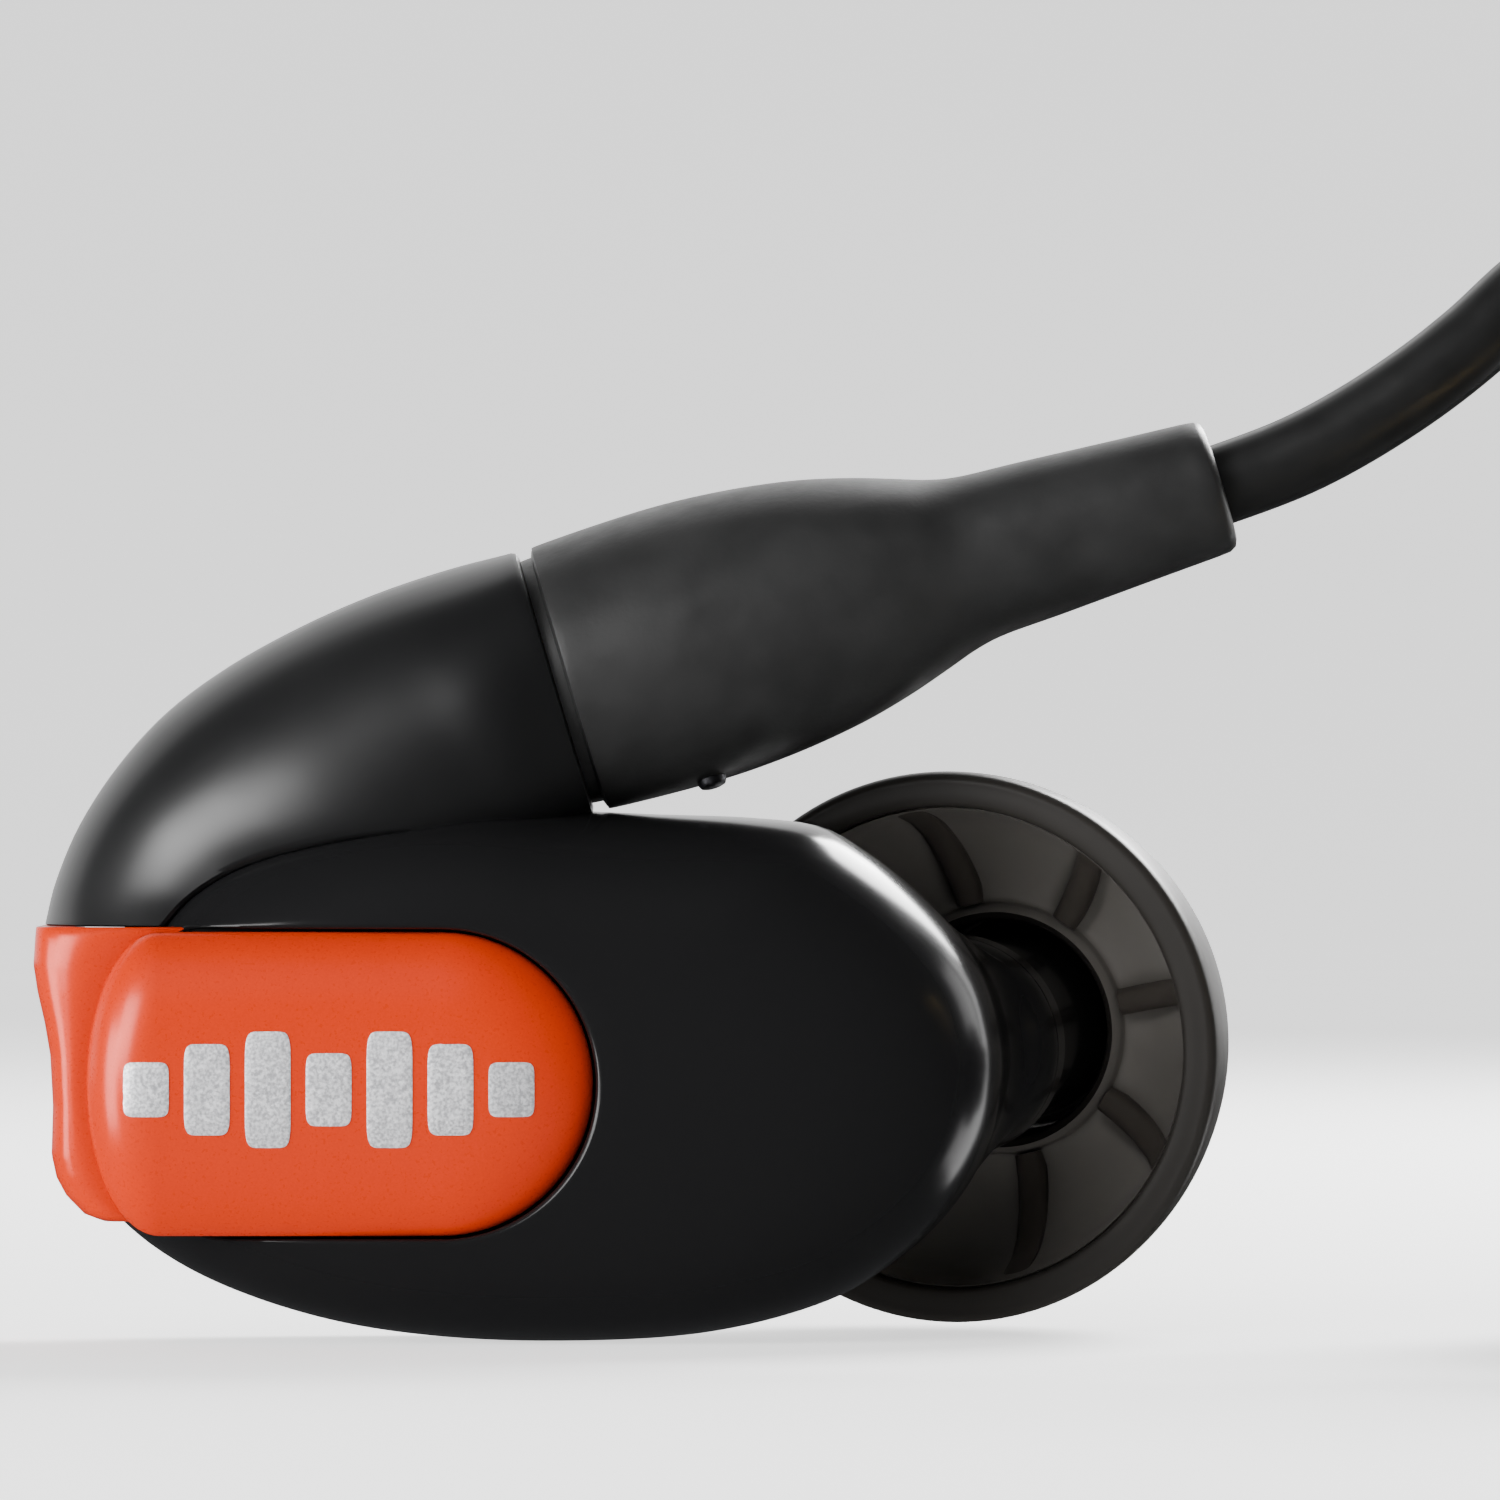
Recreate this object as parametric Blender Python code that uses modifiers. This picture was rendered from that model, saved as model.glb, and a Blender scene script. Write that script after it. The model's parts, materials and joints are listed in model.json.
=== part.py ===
"""One in-ear monitor with its detachable lead, as separate solids.

Sizes are in millimetres in a working frame: X runs to the right along the shell, Y runs away from
the faceplate side with Y = 0 on the joint between the two shell halves, and Z is up from the lowest
point of the shell. point() moves them into the part's own frame, in metres.
"""

import math

import bmesh
import bpy
from mathutils import Matrix, Vector

# ---------------------------------------------------------------- driving dimensions, mm

MM = 0.001
ORIGIN = Vector((-0.02, 3.41, 0.0))

GAP = 0.15
PART_LINE = 0.06
WALL = 0.9

BODY_MIDDLE_X = -2.48
BODY_MIDDLE_Z = 5.83
BODY_HALF_LENGTH = 10.55
BODY_HALF_HEIGHT = 5.83
BODY_FRONT = 4.7
BODY_BACK = 4.5
SIDE_POWERS = {"right_top": 2.9, "right_bottom": 2.5, "left_top": 1.9, "left_bottom": 2.25}
DEPTH_POWER = 2.5
SECTION_POWER = 2.5

CAVITY_MIDDLE_X = -2.1
CAVITY_HALF_LENGTH = 9.3
CAVITY_HALF_HEIGHT = BODY_HALF_HEIGHT - WALL
CAVITY_FRONT = 2.75
CAVITY_BACK = BODY_BACK - WALL

PAD_MIDDLE_Z = 5.78
PAD_HALF_HEIGHT = 3.33
PAD_RIGHT_X = -4.33
PAD_LEFT_X = -10.5
PAD_LEFT_REACH = 1.6
PAD_BACK_Y = -3.7
PAD_RIM_Y = -4.5
PAD_CROWN_Y = -5.2
CHANNEL_CLEARANCE = 0.2
CHANNEL_FLOOR_Y = -3.5

FLANGE_TOP_Z = 9.15
FLANGE_BOTTOM_Z = 2.75
FLANGE_LEFT_X = -13.33
FLANGE_RIGHT_X = -12.25
FLANGE_FRONT_Y = -4.2
FLANGE_BACK_Y = 2.2

SCREW_Y = -1.6
SCREW_Z = 6.0

PLUG_ORIGIN = Vector((-1.87, 0.0, 14.6))
PLUG_SLOPE = math.radians(16.6)
PLUG_AXIS = Vector((math.cos(PLUG_SLOPE), 0.0, math.sin(PLUG_SLOPE)))
PLUG_UP = Vector((-math.sin(PLUG_SLOPE), 0.0, math.cos(PLUG_SLOPE)))
PLUG_RADIUS = 3.04
BOOT_FRONT = 0.25
BOOT_LENGTH = 15.4

TIP_ORIGIN = Vector((6.85, 3.0, 6.4))
TIP_AXIS = Vector((0.26, 0.96, 0.07)).normalized()
TIP_RADIUS = 6.2
TIP_LENGTH = 8.8
STEM_START = 5.2
STEM_RADIUS = 2.45
NOZZLE_RADIUS = 2.1

CABLE_RADIUS = 0.9
CABLE_PITCH = 2 * CABLE_RADIUS
COIL_MIDDLE = Vector((36.0, 0.0, 0.0))
COIL_FLOOR = 0.6
COIL_COLUMNS = 4
COIL_LAYERS = 5
COIL_INNER = 8.0
COIL_OUTER = COIL_INNER + (COIL_COLUMNS - 1) * CABLE_PITCH
COIL_TOP = COIL_FLOOR + COIL_LAYERS * CABLE_PITCH
ON_COIL_Z = COIL_TOP + CABLE_RADIUS + 0.18
TIE_ANGLES = (170, 350)
TIE_WIDTH = 3.0
TIE_THICKNESS = 0.45
TIE_ROOM = 0.12

JACK_RADIUS = 3.05
JACK_START = Vector((COIL_MIDDLE.x + 21.5, -9.0, COIL_TOP + GAP + JACK_RADIUS))
JACK_AXIS = Vector((-1.0, 0.0, 0.0))
X_AXIS = Vector((1.0, 0.0, 0.0))
Z_AXIS = Vector((0.0, 0.0, 1.0))

MATERIALS = {
    "shell_black": ((0.010, 0.010, 0.011), 0.12, 0.0),
    "arm_black": ((0.014, 0.014, 0.015), 0.18, 0.0),
    "boot_black": ((0.022, 0.022, 0.023), 0.48, 0.0),
    "faceplate_orange": ((0.80, 0.085, 0.012), 0.24, 0.25),
    "tip_silicone": ((0.030, 0.025, 0.022), 0.38, 0.0),
    "cable_black": ((0.016, 0.016, 0.017), 0.40, 0.0),
    "steel": ((0.62, 0.63, 0.65), 0.26, 1.0),
    "gold": ((0.86, 0.62, 0.26), 0.24, 1.0),
    "insulator": ((0.72, 0.70, 0.64), 0.5, 0.0),
    "board_green": ((0.02, 0.14, 0.06), 0.45, 0.0),
    "tube_clear": ((0.55, 0.58, 0.60), 0.3, 0.0),
    "wire_red": ((0.45, 0.03, 0.02), 0.4, 0.0),
    "wire_blue": ((0.02, 0.05, 0.35), 0.4, 0.0),
}


# ---------------------------------------------------------------- scene, materials, helpers


def clear_scene():
    for old in list(bpy.data.objects):
        bpy.data.objects.remove(old, do_unlink=True)


def new_collection(name):
    collection = bpy.data.collections.new(name)
    bpy.context.scene.collection.children.link(collection)
    return collection


def new_material(name):
    colour, roughness, metallic = MATERIALS[name]
    material = bpy.data.materials.new(name)
    material.use_nodes = True
    shader = material.node_tree.nodes["Principled BSDF"]
    shader.inputs["Base Color"].default_value = (*colour, 1.0)
    shader.inputs["Roughness"].default_value = roughness
    shader.inputs["Metallic"].default_value = metallic
    material.diffuse_color = (*colour, 1.0)
    return material


clear_scene()
PARTS = new_collection("in_ear_monitor")
CUTTERS = new_collection("cutters")
FINISH = {name: new_material(name) for name in MATERIALS}


def point(place):
    """A place in the working frame, as the part's own metres."""
    return (Vector(place) - ORIGIN) * MM


def keep(obj, finish):
    """Puts a finished piece in the part, or a cutter in its own collection when finish is None."""
    for collection in list(obj.users_collection):
        collection.objects.unlink(obj)
    if finish is None:
        CUTTERS.objects.link(obj)
        obj.hide_render = True
        obj.display_type = "WIRE"
        return obj
    PARTS.objects.link(obj)
    obj.data.materials.clear()
    obj.data.materials.append(FINISH[finish])
    return obj


def axis_matrix(origin, axis):
    """Local Z on the axis, local origin at the given place."""
    turn = Vector(axis).to_track_quat("Z", "X").to_matrix().to_4x4()
    return Matrix.Translation(point(origin)) @ turn


def loft(name, rings, finish):
    """Skins rings of equally many points and closes both ends with one face each."""
    mesh = bmesh.new()
    rows = [[mesh.verts.new(point(place)) for place in ring] for ring in rings]
    for first, second in zip(rows, rows[1:]):
        for i in range(len(first)):
            j = (i + 1) % len(first)
            mesh.faces.new((first[i], first[j], second[j], second[i]))
    mesh.faces.new(rows[0][::-1])
    mesh.faces.new(rows[-1])
    bmesh.ops.recalc_face_normals(mesh, faces=mesh.faces)
    data = bpy.data.meshes.new(name)
    mesh.to_mesh(data)
    mesh.free()
    data.shade_smooth()
    data.set_sharp_from_angle(angle=math.radians(40))
    obj = bpy.data.objects.new(name, data)
    bpy.context.scene.collection.objects.link(obj)
    return keep(obj, finish)


def turned(name, profile, origin, axis, finish, steps=32, closed=True):
    """Turns (distance along the axis, radius) pairs, which run round the section anticlockwise."""
    data = bpy.data.meshes.new(name)
    verts = [(radius * MM, 0.0, along * MM) for along, radius in profile]
    edges = [(i, i + 1) for i in range(len(verts) - 1)]
    if closed:
        edges.append((len(verts) - 1, 0))
    data.from_pydata(verts, edges, [])
    obj = bpy.data.objects.new(name, data)
    obj.matrix_world = axis_matrix(origin, axis)
    bpy.context.scene.collection.objects.link(obj)
    screw = obj.modifiers.new("turn", "SCREW")
    screw.steps = steps
    screw.render_steps = steps
    screw.use_merge_vertices = True
    screw.merge_threshold = 1e-7
    return keep(obj, finish)


def tube(name, start, end, outer, inner, origin, axis, finish, steps=24):
    """A plain sleeve between two distances along an axis."""
    profile = [(end, inner), (end, outer), (start, outer), (start, inner)]
    return turned(name, profile, origin, axis, finish, steps)


def rod(name, start, end, radius, origin, axis, finish, steps=24):
    profile = [(end, 0.0), (end, radius), (start, radius), (start, 0.0)]
    return turned(name, profile, origin, axis, finish, steps, closed=False)


def box(name, middle, size, finish, bevel=0.0):
    bpy.ops.mesh.primitive_cube_add(size=1.0)
    obj = bpy.context.active_object
    obj.name = name
    obj.data.name = name
    obj.data.transform(Matrix.Diagonal((size[0] * MM, size[1] * MM, size[2] * MM, 1.0)))
    obj.matrix_world = Matrix.Translation(point(middle))
    if bevel:
        edge = obj.modifiers.new("edges", "BEVEL")
        edge.width = bevel * MM
        edge.segments = 2
    return keep(obj, finish)


def wire(name, places, radius, finish):
    """A round cord along a list of places."""
    curve = bpy.data.curves.new(name, "CURVE")
    curve.dimensions = "3D"
    curve.bevel_depth = radius * MM
    curve.bevel_resolution = 2
    curve.use_fill_caps = True
    spline = curve.splines.new("POLY")
    spline.points.add(len(places) - 1)
    for knot, place in zip(spline.points, places):
        knot.co = (*point(place), 1.0)
    obj = bpy.data.objects.new(name, curve)
    bpy.context.scene.collection.objects.link(obj)
    return keep(obj, finish)


def combine(obj, other, operation, solver="EXACT"):
    change = obj.modifiers.new(operation.lower() + "_" + other.name, "BOOLEAN")
    change.object = other
    change.operation = operation
    change.solver = solver


def cut(obj, *others, solver="EXACT"):
    for other in others:
        combine(obj, other, "DIFFERENCE", solver)


def smooth_path(places, per_span):
    """Points on a Catmull-Rom curve through the given places."""
    knots = [Vector(place) for place in places]
    knots = [2 * knots[0] - knots[1], *knots, 2 * knots[-1] - knots[-2]]
    found = []
    for a, b, c, d in zip(knots, knots[1:], knots[2:], knots[3:]):
        for step in range(per_span):
            t = step / per_span
            found.append(
                0.5 * (2 * b + (c - a) * t + (2 * a - 5 * b + 4 * c - d) * t**2
                       + (3 * b - a - 3 * c + d) * t**3)
            )
    return [*found, knots[-2]]


# ---------------------------------------------------------------- shell


def reach(u, power):
    """Height of a unit superellipse at distance u from its middle."""
    return max(0.0, 1.0 - abs(u) ** power) ** (1.0 / power)


def signed_power(value, power):
    return math.copysign(abs(value) ** power, value)


def ovoid(name, middle_x, half_length, half_height, front, back, stations, around, finish=None):
    """The shell's egg shape: superelliptic sections across X, with its own power on each side."""
    rings = []
    for i in range(1, stations):
        u = math.cos(math.pi * i / stations)
        side = "right" if u > 0 else "left"
        top = half_height * reach(u, SIDE_POWERS[side + "_top"])
        bottom = half_height * reach(u, SIDE_POWERS[side + "_bottom"])
        depth = reach(u, DEPTH_POWER)
        ring = []
        for k in range(around):
            angle = 2 * math.pi * k / around
            across = signed_power(math.cos(angle), 2 / SECTION_POWER)
            up = signed_power(math.sin(angle), 2 / SECTION_POWER)
            y = across * depth * (back if across > 0 else front)
            z = BODY_MIDDLE_Z + up * (top if up > 0 else bottom)
            ring.append((middle_x + half_length * u, y, z))
        rings.append(ring)
    return loft(name, rings, finish)


def body_ovoid(name, grow, stations, around, finish=None):
    return ovoid(
        name,
        BODY_MIDDLE_X,
        BODY_HALF_LENGTH + grow,
        BODY_HALF_HEIGHT + grow,
        BODY_FRONT + grow,
        BODY_BACK + grow,
        stations,
        around,
        finish,
    )


def pad_outline(y, inset):
    """The faceplate's outline: a round right end and a flatter left end."""
    height = PAD_HALF_HEIGHT - inset
    left = PAD_LEFT_REACH - 0.8 * inset
    places = []
    for i in range(17):
        angle = -math.pi / 2 + math.pi * i / 16
        places.append((PAD_RIGHT_X + height * math.cos(angle), y, PAD_MIDDLE_Z + height * math.sin(angle)))
    for i in range(13):
        angle = math.pi / 2 + math.pi * i / 12
        places.append((PAD_LEFT_X + left * math.cos(angle), y, PAD_MIDDLE_Z + height * math.sin(angle)))
    return places


def channel_cutter():
    """The recess that the faceplate slides into, open at the left end."""
    half = PAD_HALF_HEIGHT + CHANNEL_CLEARANCE
    outline = [(-15.0, PAD_MIDDLE_Z - half)]
    for i in range(17):
        angle = -math.pi / 2 + math.pi * i / 16
        outline.append((PAD_RIGHT_X + half * math.cos(angle), PAD_MIDDLE_Z + half * math.sin(angle)))
    outline.append((-15.0, PAD_MIDDLE_Z + half))
    rings = [[(x, y, z) for x, z in outline] for y in (-8.0, CHANNEL_FLOOR_Y)]
    return loft("channel_cutter", rings, None)


def flange_pocket_cutter():
    middle = ((-15.0 + FLANGE_RIGHT_X + GAP) / 2, (FLANGE_BACK_Y + GAP - 6.0) / 2, PAD_MIDDLE_Z)
    size = (FLANGE_RIGHT_X + GAP + 15.0, FLANGE_BACK_Y + GAP + 6.0, 2 * (PAD_HALF_HEIGHT + CHANNEL_CLEARANCE))
    return box("flange_pocket_cutter", middle, size, None)


def snout_rings():
    """From a broad oval on the shell's back to the round collar of the nozzle."""
    base_middle = Vector((3.9, 0.6, 6.1))
    start_turn = Vector((0.0, 1.0, 0.0))
    rings = []
    for i in range(9):
        t = i / 8
        ease = t * t * (3 - 2 * t)
        axis = start_turn.lerp(TIP_AXIS, t).normalized()
        middle = base_middle.lerp(TIP_ORIGIN + 0.2 * TIP_AXIS, t)
        wide = 4.15 * (1 - ease) + 2.5 * ease
        high = 4.7 * (1 - ease) + 2.5 * ease
        across = Z_AXIS.cross(axis).normalized() * -1
        up = axis.cross(across).normalized() * -1
        if up.z < 0:
            up = -up
        ring = []
        for k in range(28):
            angle = 2 * math.pi * k / 28
            ring.append(middle + across * wide * math.cos(angle) + up * high * math.sin(angle))
        rings.append(ring)
    return rings


def add_shell():
    """Both shell halves, hollow and open to each other at the joint."""
    cavity = ovoid(
        "cavity_cutter",
        CAVITY_MIDDLE_X,
        CAVITY_HALF_LENGTH,
        CAVITY_HALF_HEIGHT,
        CAVITY_FRONT,
        CAVITY_BACK,
        18,
        24,
    )
    back_half = box("back_half_cutter", (0.0, 10.0 - PART_LINE, 5.0), (40.0, 20.0, 40.0), None)
    front_half = box("front_half_cutter", (0.0, PART_LINE - 10.0, 5.0), (40.0, 20.0, 40.0), None)
    wire_hole = rod("wire_hole_cutter", 8.5, 13.6, 0.8, (-6.3, 0.0, 0.0), Z_AXIS, None, 16)
    insert_hole = rod("insert_hole_cutter", -13.0, -10.2, 0.85, (0.0, SCREW_Y, SCREW_Z), X_AXIS, None, 16)
    nozzle_bore = rod("nozzle_bore_cutter", -6.0, 3.0, NOZZLE_RADIUS + GAP, TIP_ORIGIN, TIP_AXIS, None, 28)
    channel = channel_cutter()
    pocket = flange_pocket_cutter()

    outer = body_ovoid("outer_shell", 0.0, 26, 36, "shell_black")
    cut(outer, cavity, back_half, channel, pocket, wire_hole, insert_hole)

    snout = loft("snout_form", snout_rings(), None)
    inner = body_ovoid("inner_shell", 0.0, 26, 36, "shell_black")
    combine(inner, snout, "UNION")
    cut(inner, cavity, front_half, pocket, wire_hole, nozzle_bore)
    return wire_hole


ARM_STATIONS = [
    # outer edge, inner edge, half depth
    ((-13.22, 9.38), (-9.9, 9.38), 3.2),
    ((-12.75, 10.8), (-8.9, 9.6), 3.4),
    ((-11.7, 12.7), (-7.6, 9.9), 3.4),
    ((-9.78, 14.56), (-6.1, 10.2), 3.3),
    ((-7.56, 15.82), (-4.6, 10.6), 3.2),
    ((-5.33, 16.73), (-3.0, 11.0), 3.1),
    ((-2.739, 17.513), (-1.001, 11.687), PLUG_RADIUS),
]


def add_arm(wire_hole):
    """The horn that carries the socket, lying on the shell's upper left."""
    outer = smooth_path([(x, 0.0, z) for (x, z), _, _ in ARM_STATIONS], 2)
    inner = smooth_path([(x, 0.0, z) for _, (x, z), _ in ARM_STATIONS], 2)
    depth = smooth_path([(half, 0.0, 0.0) for _, _, half in ARM_STATIONS], 2)
    rings = []
    for edge, root, half in zip(outer, inner, depth):
        middle = (edge + root) / 2
        up = (edge - root) / 2
        ring = []
        for k in range(28):
            angle = 2 * math.pi * k / 28
            ring.append(middle + up * math.cos(angle) + Vector((0.0, half.x * math.sin(angle), 0.0)))
        rings.append(ring)
    arm = loft("connector_arm", rings, "arm_black")
    clearance = body_ovoid("arm_clearance_cutter", GAP, 26, 36)
    bore = rod("socket_bore_cutter", -4.4, 1.0, 1.8, PLUG_ORIGIN, PLUG_AXIS, None, 28)
    cut(arm, clearance, bore, wire_hole, solver="MANIFOLD")


def add_faceplate():
    rings = [
        pad_outline(PAD_BACK_Y, 0.0),
        pad_outline(PAD_RIM_Y, 0.0),
        pad_outline(PAD_RIM_Y - 0.25, 0.12),
        pad_outline(PAD_RIM_Y - 0.45, 0.4),
        pad_outline(PAD_CROWN_Y + 0.08, 0.95),
        pad_outline(PAD_CROWN_Y, 1.8),
    ]
    faceplate = loft("faceplate", rings, "faceplate_orange")
    outline = [
        (-11.6, FLANGE_TOP_Z),
        (-13.2, FLANGE_TOP_Z),
        (FLANGE_LEFT_X, 8.5),
        (-13.25, 7.8),
        (-12.97, 6.4),
        (-12.9, 5.3),
        (-12.95, 4.1),
        (-12.75, 3.5),
        (-12.2, 2.9),
        (-11.4, FLANGE_BOTTOM_Z),
    ]
    front = [(x + 0.6, FLANGE_FRONT_Y, z) for x, z in outline]
    shoulder = [(x, FLANGE_FRONT_Y + 0.9, z) for x, z in outline]
    back = [(x, FLANGE_BACK_Y, z) for x, z in outline]
    flange = loft("flange_form", [front, shoulder, back], None)
    middle_y = (CHANNEL_FLOOR_Y - GAP + 6.0) / 2
    behind = box(
        "flange_hollow_cutter",
        (FLANGE_RIGHT_X + 2.0, middle_y, PAD_MIDDLE_Z),
        (4.0, 6.0 - CHANNEL_FLOOR_Y + GAP, 9.0),
        None,
    )
    head_hole = rod("head_hole_cutter", -15.0, -12.4, 1.0, (0.0, SCREW_Y, SCREW_Z), X_AXIS, None, 20)
    shank_hole = rod("shank_hole_cutter", -15.0, -12.0, 0.5, (0.0, SCREW_Y, SCREW_Z), X_AXIS, None, 16)
    combine(faceplate, flange, "UNION")
    cut(faceplate, behind, head_hole, shank_hole)


def add_faceplate_screw():
    seat = (0.0, SCREW_Y, SCREW_Z)
    profile = [(-10.8, 0.0), (-10.8, 0.25), (-11.0, 0.36), (-12.5, 0.36), (-12.5, 0.85)]
    profile += [(-12.85, 0.85), (-12.95, 0.75), (-12.95, 0.0)]
    screw = turned("faceplate_screw", profile, seat, X_AXIS, "steel", 24, closed=False)
    drive = rod("screw_drive_cutter", -13.5, -12.7, 0.32, seat, X_AXIS, None, 6)
    cut(screw, drive)
    tube("screw_insert", -11.95, -10.4, 0.75, 0.47, seat, X_AXIS, "gold", 16)


# ---------------------------------------------------------------- nozzle and ear tip


def add_nozzle():
    profile = [(7.7, 1.7), (7.7, 1.95), (7.4, 2.1), (7.0, 2.25), (6.7, 2.1), (-0.6, 2.1), (-0.6, 1.7)]
    turned("nozzle_tube", profile, TIP_ORIGIN, TIP_AXIS, "shell_black", 28)
    tube("nozzle_collar", 0.35, 1.1, 2.5, 2.2, TIP_ORIGIN, TIP_AXIS, "shell_black", 32)
    wax_filter = rod("wax_filter", 6.9, 7.3, 1.6, TIP_ORIGIN, TIP_AXIS, "steel", 24)
    across = TIP_AXIS.cross(Z_AXIS).normalized()
    up = across.cross(TIP_AXIS)
    for i in range(6):
        angle = math.tau * i / 6
        middle = TIP_ORIGIN + (across * math.cos(angle) + up * math.sin(angle)) * 0.95
        hole = rod(f"filter_hole_cutter_{i}", 6.0, 8.0, 0.28, middle, TIP_AXIS, None, 8)
        cut(wax_filter, hole, solver="MANIFOLD")


def add_ear_tip():
    """A single silicone flange, open towards the shell, with a stem bore for the nozzle."""
    outside = [(TIP_LENGTH, 1.75), (8.75, 2.2), (8.5, 2.7), (7.9, 3.35), (7.0, 4.05), (5.8, 4.75)]
    outside += [(4.4, 5.35), (3.0, 5.8), (1.6, 6.08), (0.6, TIP_RADIUS), (0.1, TIP_RADIUS - 0.05)]
    inside = [(0.0, 6.0), (0.05, 5.5), (0.5, 5.42), (1.8, 5.3), (3.2, 4.95), (4.4, 4.3)]
    inside += [(5.05, 3.5), (STEM_START, 3.05), (STEM_START, 2.6), (5.35, STEM_RADIUS)]
    bore = [(8.0, STEM_RADIUS), (8.1, 1.75)]
    turned("ear_tip", outside + inside + bore, TIP_ORIGIN, TIP_AXIS, "tip_silicone", 40)


# ---------------------------------------------------------------- socket in the arm, plug and boot


def add_socket():
    tube("socket_barrel", -3.8, -0.3, 1.65, 1.35, PLUG_ORIGIN, PLUG_AXIS, "steel", 28)
    tube("socket_insulator", -3.8, -2.9, 1.25, 0.35, PLUG_ORIGIN, PLUG_AXIS, "insulator", 24)
    rod("socket_contact", -4.3, -1.0, 0.25, PLUG_ORIGIN, PLUG_AXIS, "gold", 16)


def add_plug():
    ring = [(1.2, 0.95), (1.2, 1.9), (0.75, 1.9), (0.7, 1.2), (-1.5, 1.2), (-1.7, 1.12), (-2.0, 1.12)]
    ring += [(-2.15, 1.22), (-2.45, 1.16), (-2.55, 1.08), (-2.55, 0.95)]
    turned("plug_snap_ring", ring, PLUG_ORIGIN, PLUG_AXIS, "gold", 28)
    body = [(3.5, 0.6), (3.5, 1.9), (1.6, 1.9), (1.5, 0.84), (-2.4, 0.84), (-2.4, 0.6)]
    turned("plug_insulator", body, PLUG_ORIGIN, PLUG_AXIS, "insulator", 24)
    tube("plug_contact", -2.4, 3.8, 0.5, 0.35, PLUG_ORIGIN, PLUG_AXIS, "gold", 16)
    tube("plug_ferrule", 0.45, 3.7, 2.35, 2.05, PLUG_ORIGIN, PLUG_AXIS, "steel", 28)
    rod("lead_end", 4.2, BOOT_LENGTH - 0.2, CABLE_RADIUS, PLUG_ORIGIN, PLUG_AXIS, "cable_black", 16)


def add_boot():
    outside = [(BOOT_LENGTH, 1.05), (BOOT_LENGTH, 1.4), (15.25, 1.52), (13.5, 1.6), (10.3, 1.8)]
    outside += [(9.3, 1.95), (8.6, 2.15), (7.6, 2.45), (6.5, 2.75), (5.5, 2.93), (4.5, 3.05)]
    outside += [(3.2, 3.12), (2.0, 3.12), (0.45, PLUG_RADIUS), (BOOT_FRONT, 2.9), (BOOT_FRONT, 2.55)]
    inside = [(4.0, 2.55), (4.0, 1.05)]
    boot = turned("plug_boot", outside + inside, PLUG_ORIGIN, PLUG_AXIS, "boot_black", 32)
    lean = math.radians(12)
    outward = (-PLUG_UP * math.cos(lean) + Vector((0.0, -math.sin(lean), 0.0))).normalized()
    seat = PLUG_ORIGIN + 2.7 * PLUG_AXIS
    cut(boot, rod("marker_hole_cutter", 2.0, 4.0, 0.42, seat, outward, None, 16))
    rod("side_marker", 2.65, 3.3, 0.32, seat, outward, "steel", 16)


# ---------------------------------------------------------------- drivers and acoustics


def driver(name, middle, size):
    """A balanced-armature can with a short sound spout on its right end."""
    can = box(name, middle, size, "steel", bevel=0.18)
    spout_start = size[0] / 2 - 0.1
    spout = rod(name + "_spout_form", spout_start, spout_start + 0.5, 0.42, middle, X_AXIS, None, 12)
    combine(can, spout, "UNION")


def add_drivers():
    for i, z in enumerate((7.25, 4.4)):
        driver(f"bass_driver_{i + 1}", (-5.4, -0.5, z), (5.0, 2.2, 2.7))
    for i, z in enumerate((7.25, 4.4)):
        driver(f"mid_driver_{i + 1}", (-0.1, -0.5, z), (4.0, 2.2, 2.5))
    for i, (y, z) in enumerate(((-1.0, 6.95), (0.15, 6.95), (-1.0, 4.8), (0.15, 4.8))):
        driver(f"treble_driver_{i + 1}", (3.85, y, z), (2.3, 1.0, 1.9))
    cradle = box("driver_cradle", (-2.9, 1.15, 5.85), (10.6, 0.6, 5.4), "tube_clear", bevel=0.2)
    for i, x in enumerate((-5.6, -0.2)):
        cut(cradle, rod(f"cradle_hole_cutter_{i}", -1.0, 3.0, 1.3, (x, 1.0, 5.85), (0, 1, 0), None, 16))
    box("crossover_board", (-3.1, 1.95, 5.85), (8.8, 0.5, 4.6), "board_green", bevel=0.08)


SOUND_TUBES = {
    "low": ((-3.4, 1.2, 9.25), (0.4, 1.4, 9.5), (3.4, 1.7, 8.55)),
    "mid": ((-0.4, 1.3, 2.2), (2.7, 1.4, 2.6)),
    "high": ((6.25, -0.1, 5.75),),
}


def add_sound_tubes():
    """One tube for each range, side by side into the nozzle, each ended by a damper."""
    across = TIP_AXIS.cross(Z_AXIS).normalized()
    up = across.cross(TIP_AXIS)
    angles = {"low": math.radians(90), "mid": math.radians(210), "high": math.radians(-30)}
    for name, start in SOUND_TUBES.items():
        angle = angles[name]
        offset = (across * math.cos(angle) + up * math.sin(angle)) * 0.8
        ends = [TIP_ORIGIN + offset + TIP_AXIS * s for s in (-1.8, -0.3, 2.0)]
        wire(f"{name}_sound_tube", smooth_path([*start, *ends], 4), 0.5, "tube_clear")
        rod(f"{name}_damper", 2.15, 3.4, 0.5, TIP_ORIGIN + offset, TIP_AXIS, "insulator", 16)


def add_signal_wires():
    """Two enamelled wires from the socket down to the crossover board."""
    ends = {"hot": (0.3, "wire_red"), "ground": (-0.3, "wire_blue")}
    for name, (y, finish) in ends.items():
        places = [(-6.35, y, 12.6), (-6.3, y, 11.9), (-6.3, y, 10.8), (-6.3, y, 9.9)]
        places += [(-6.2, y + 0.7, 9.25), (-6.1, y + 1.75, 8.75)]
        wire(f"signal_wire_{name}", smooth_path(places, 4), 0.14, finish)


# ---------------------------------------------------------------- lead


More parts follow.
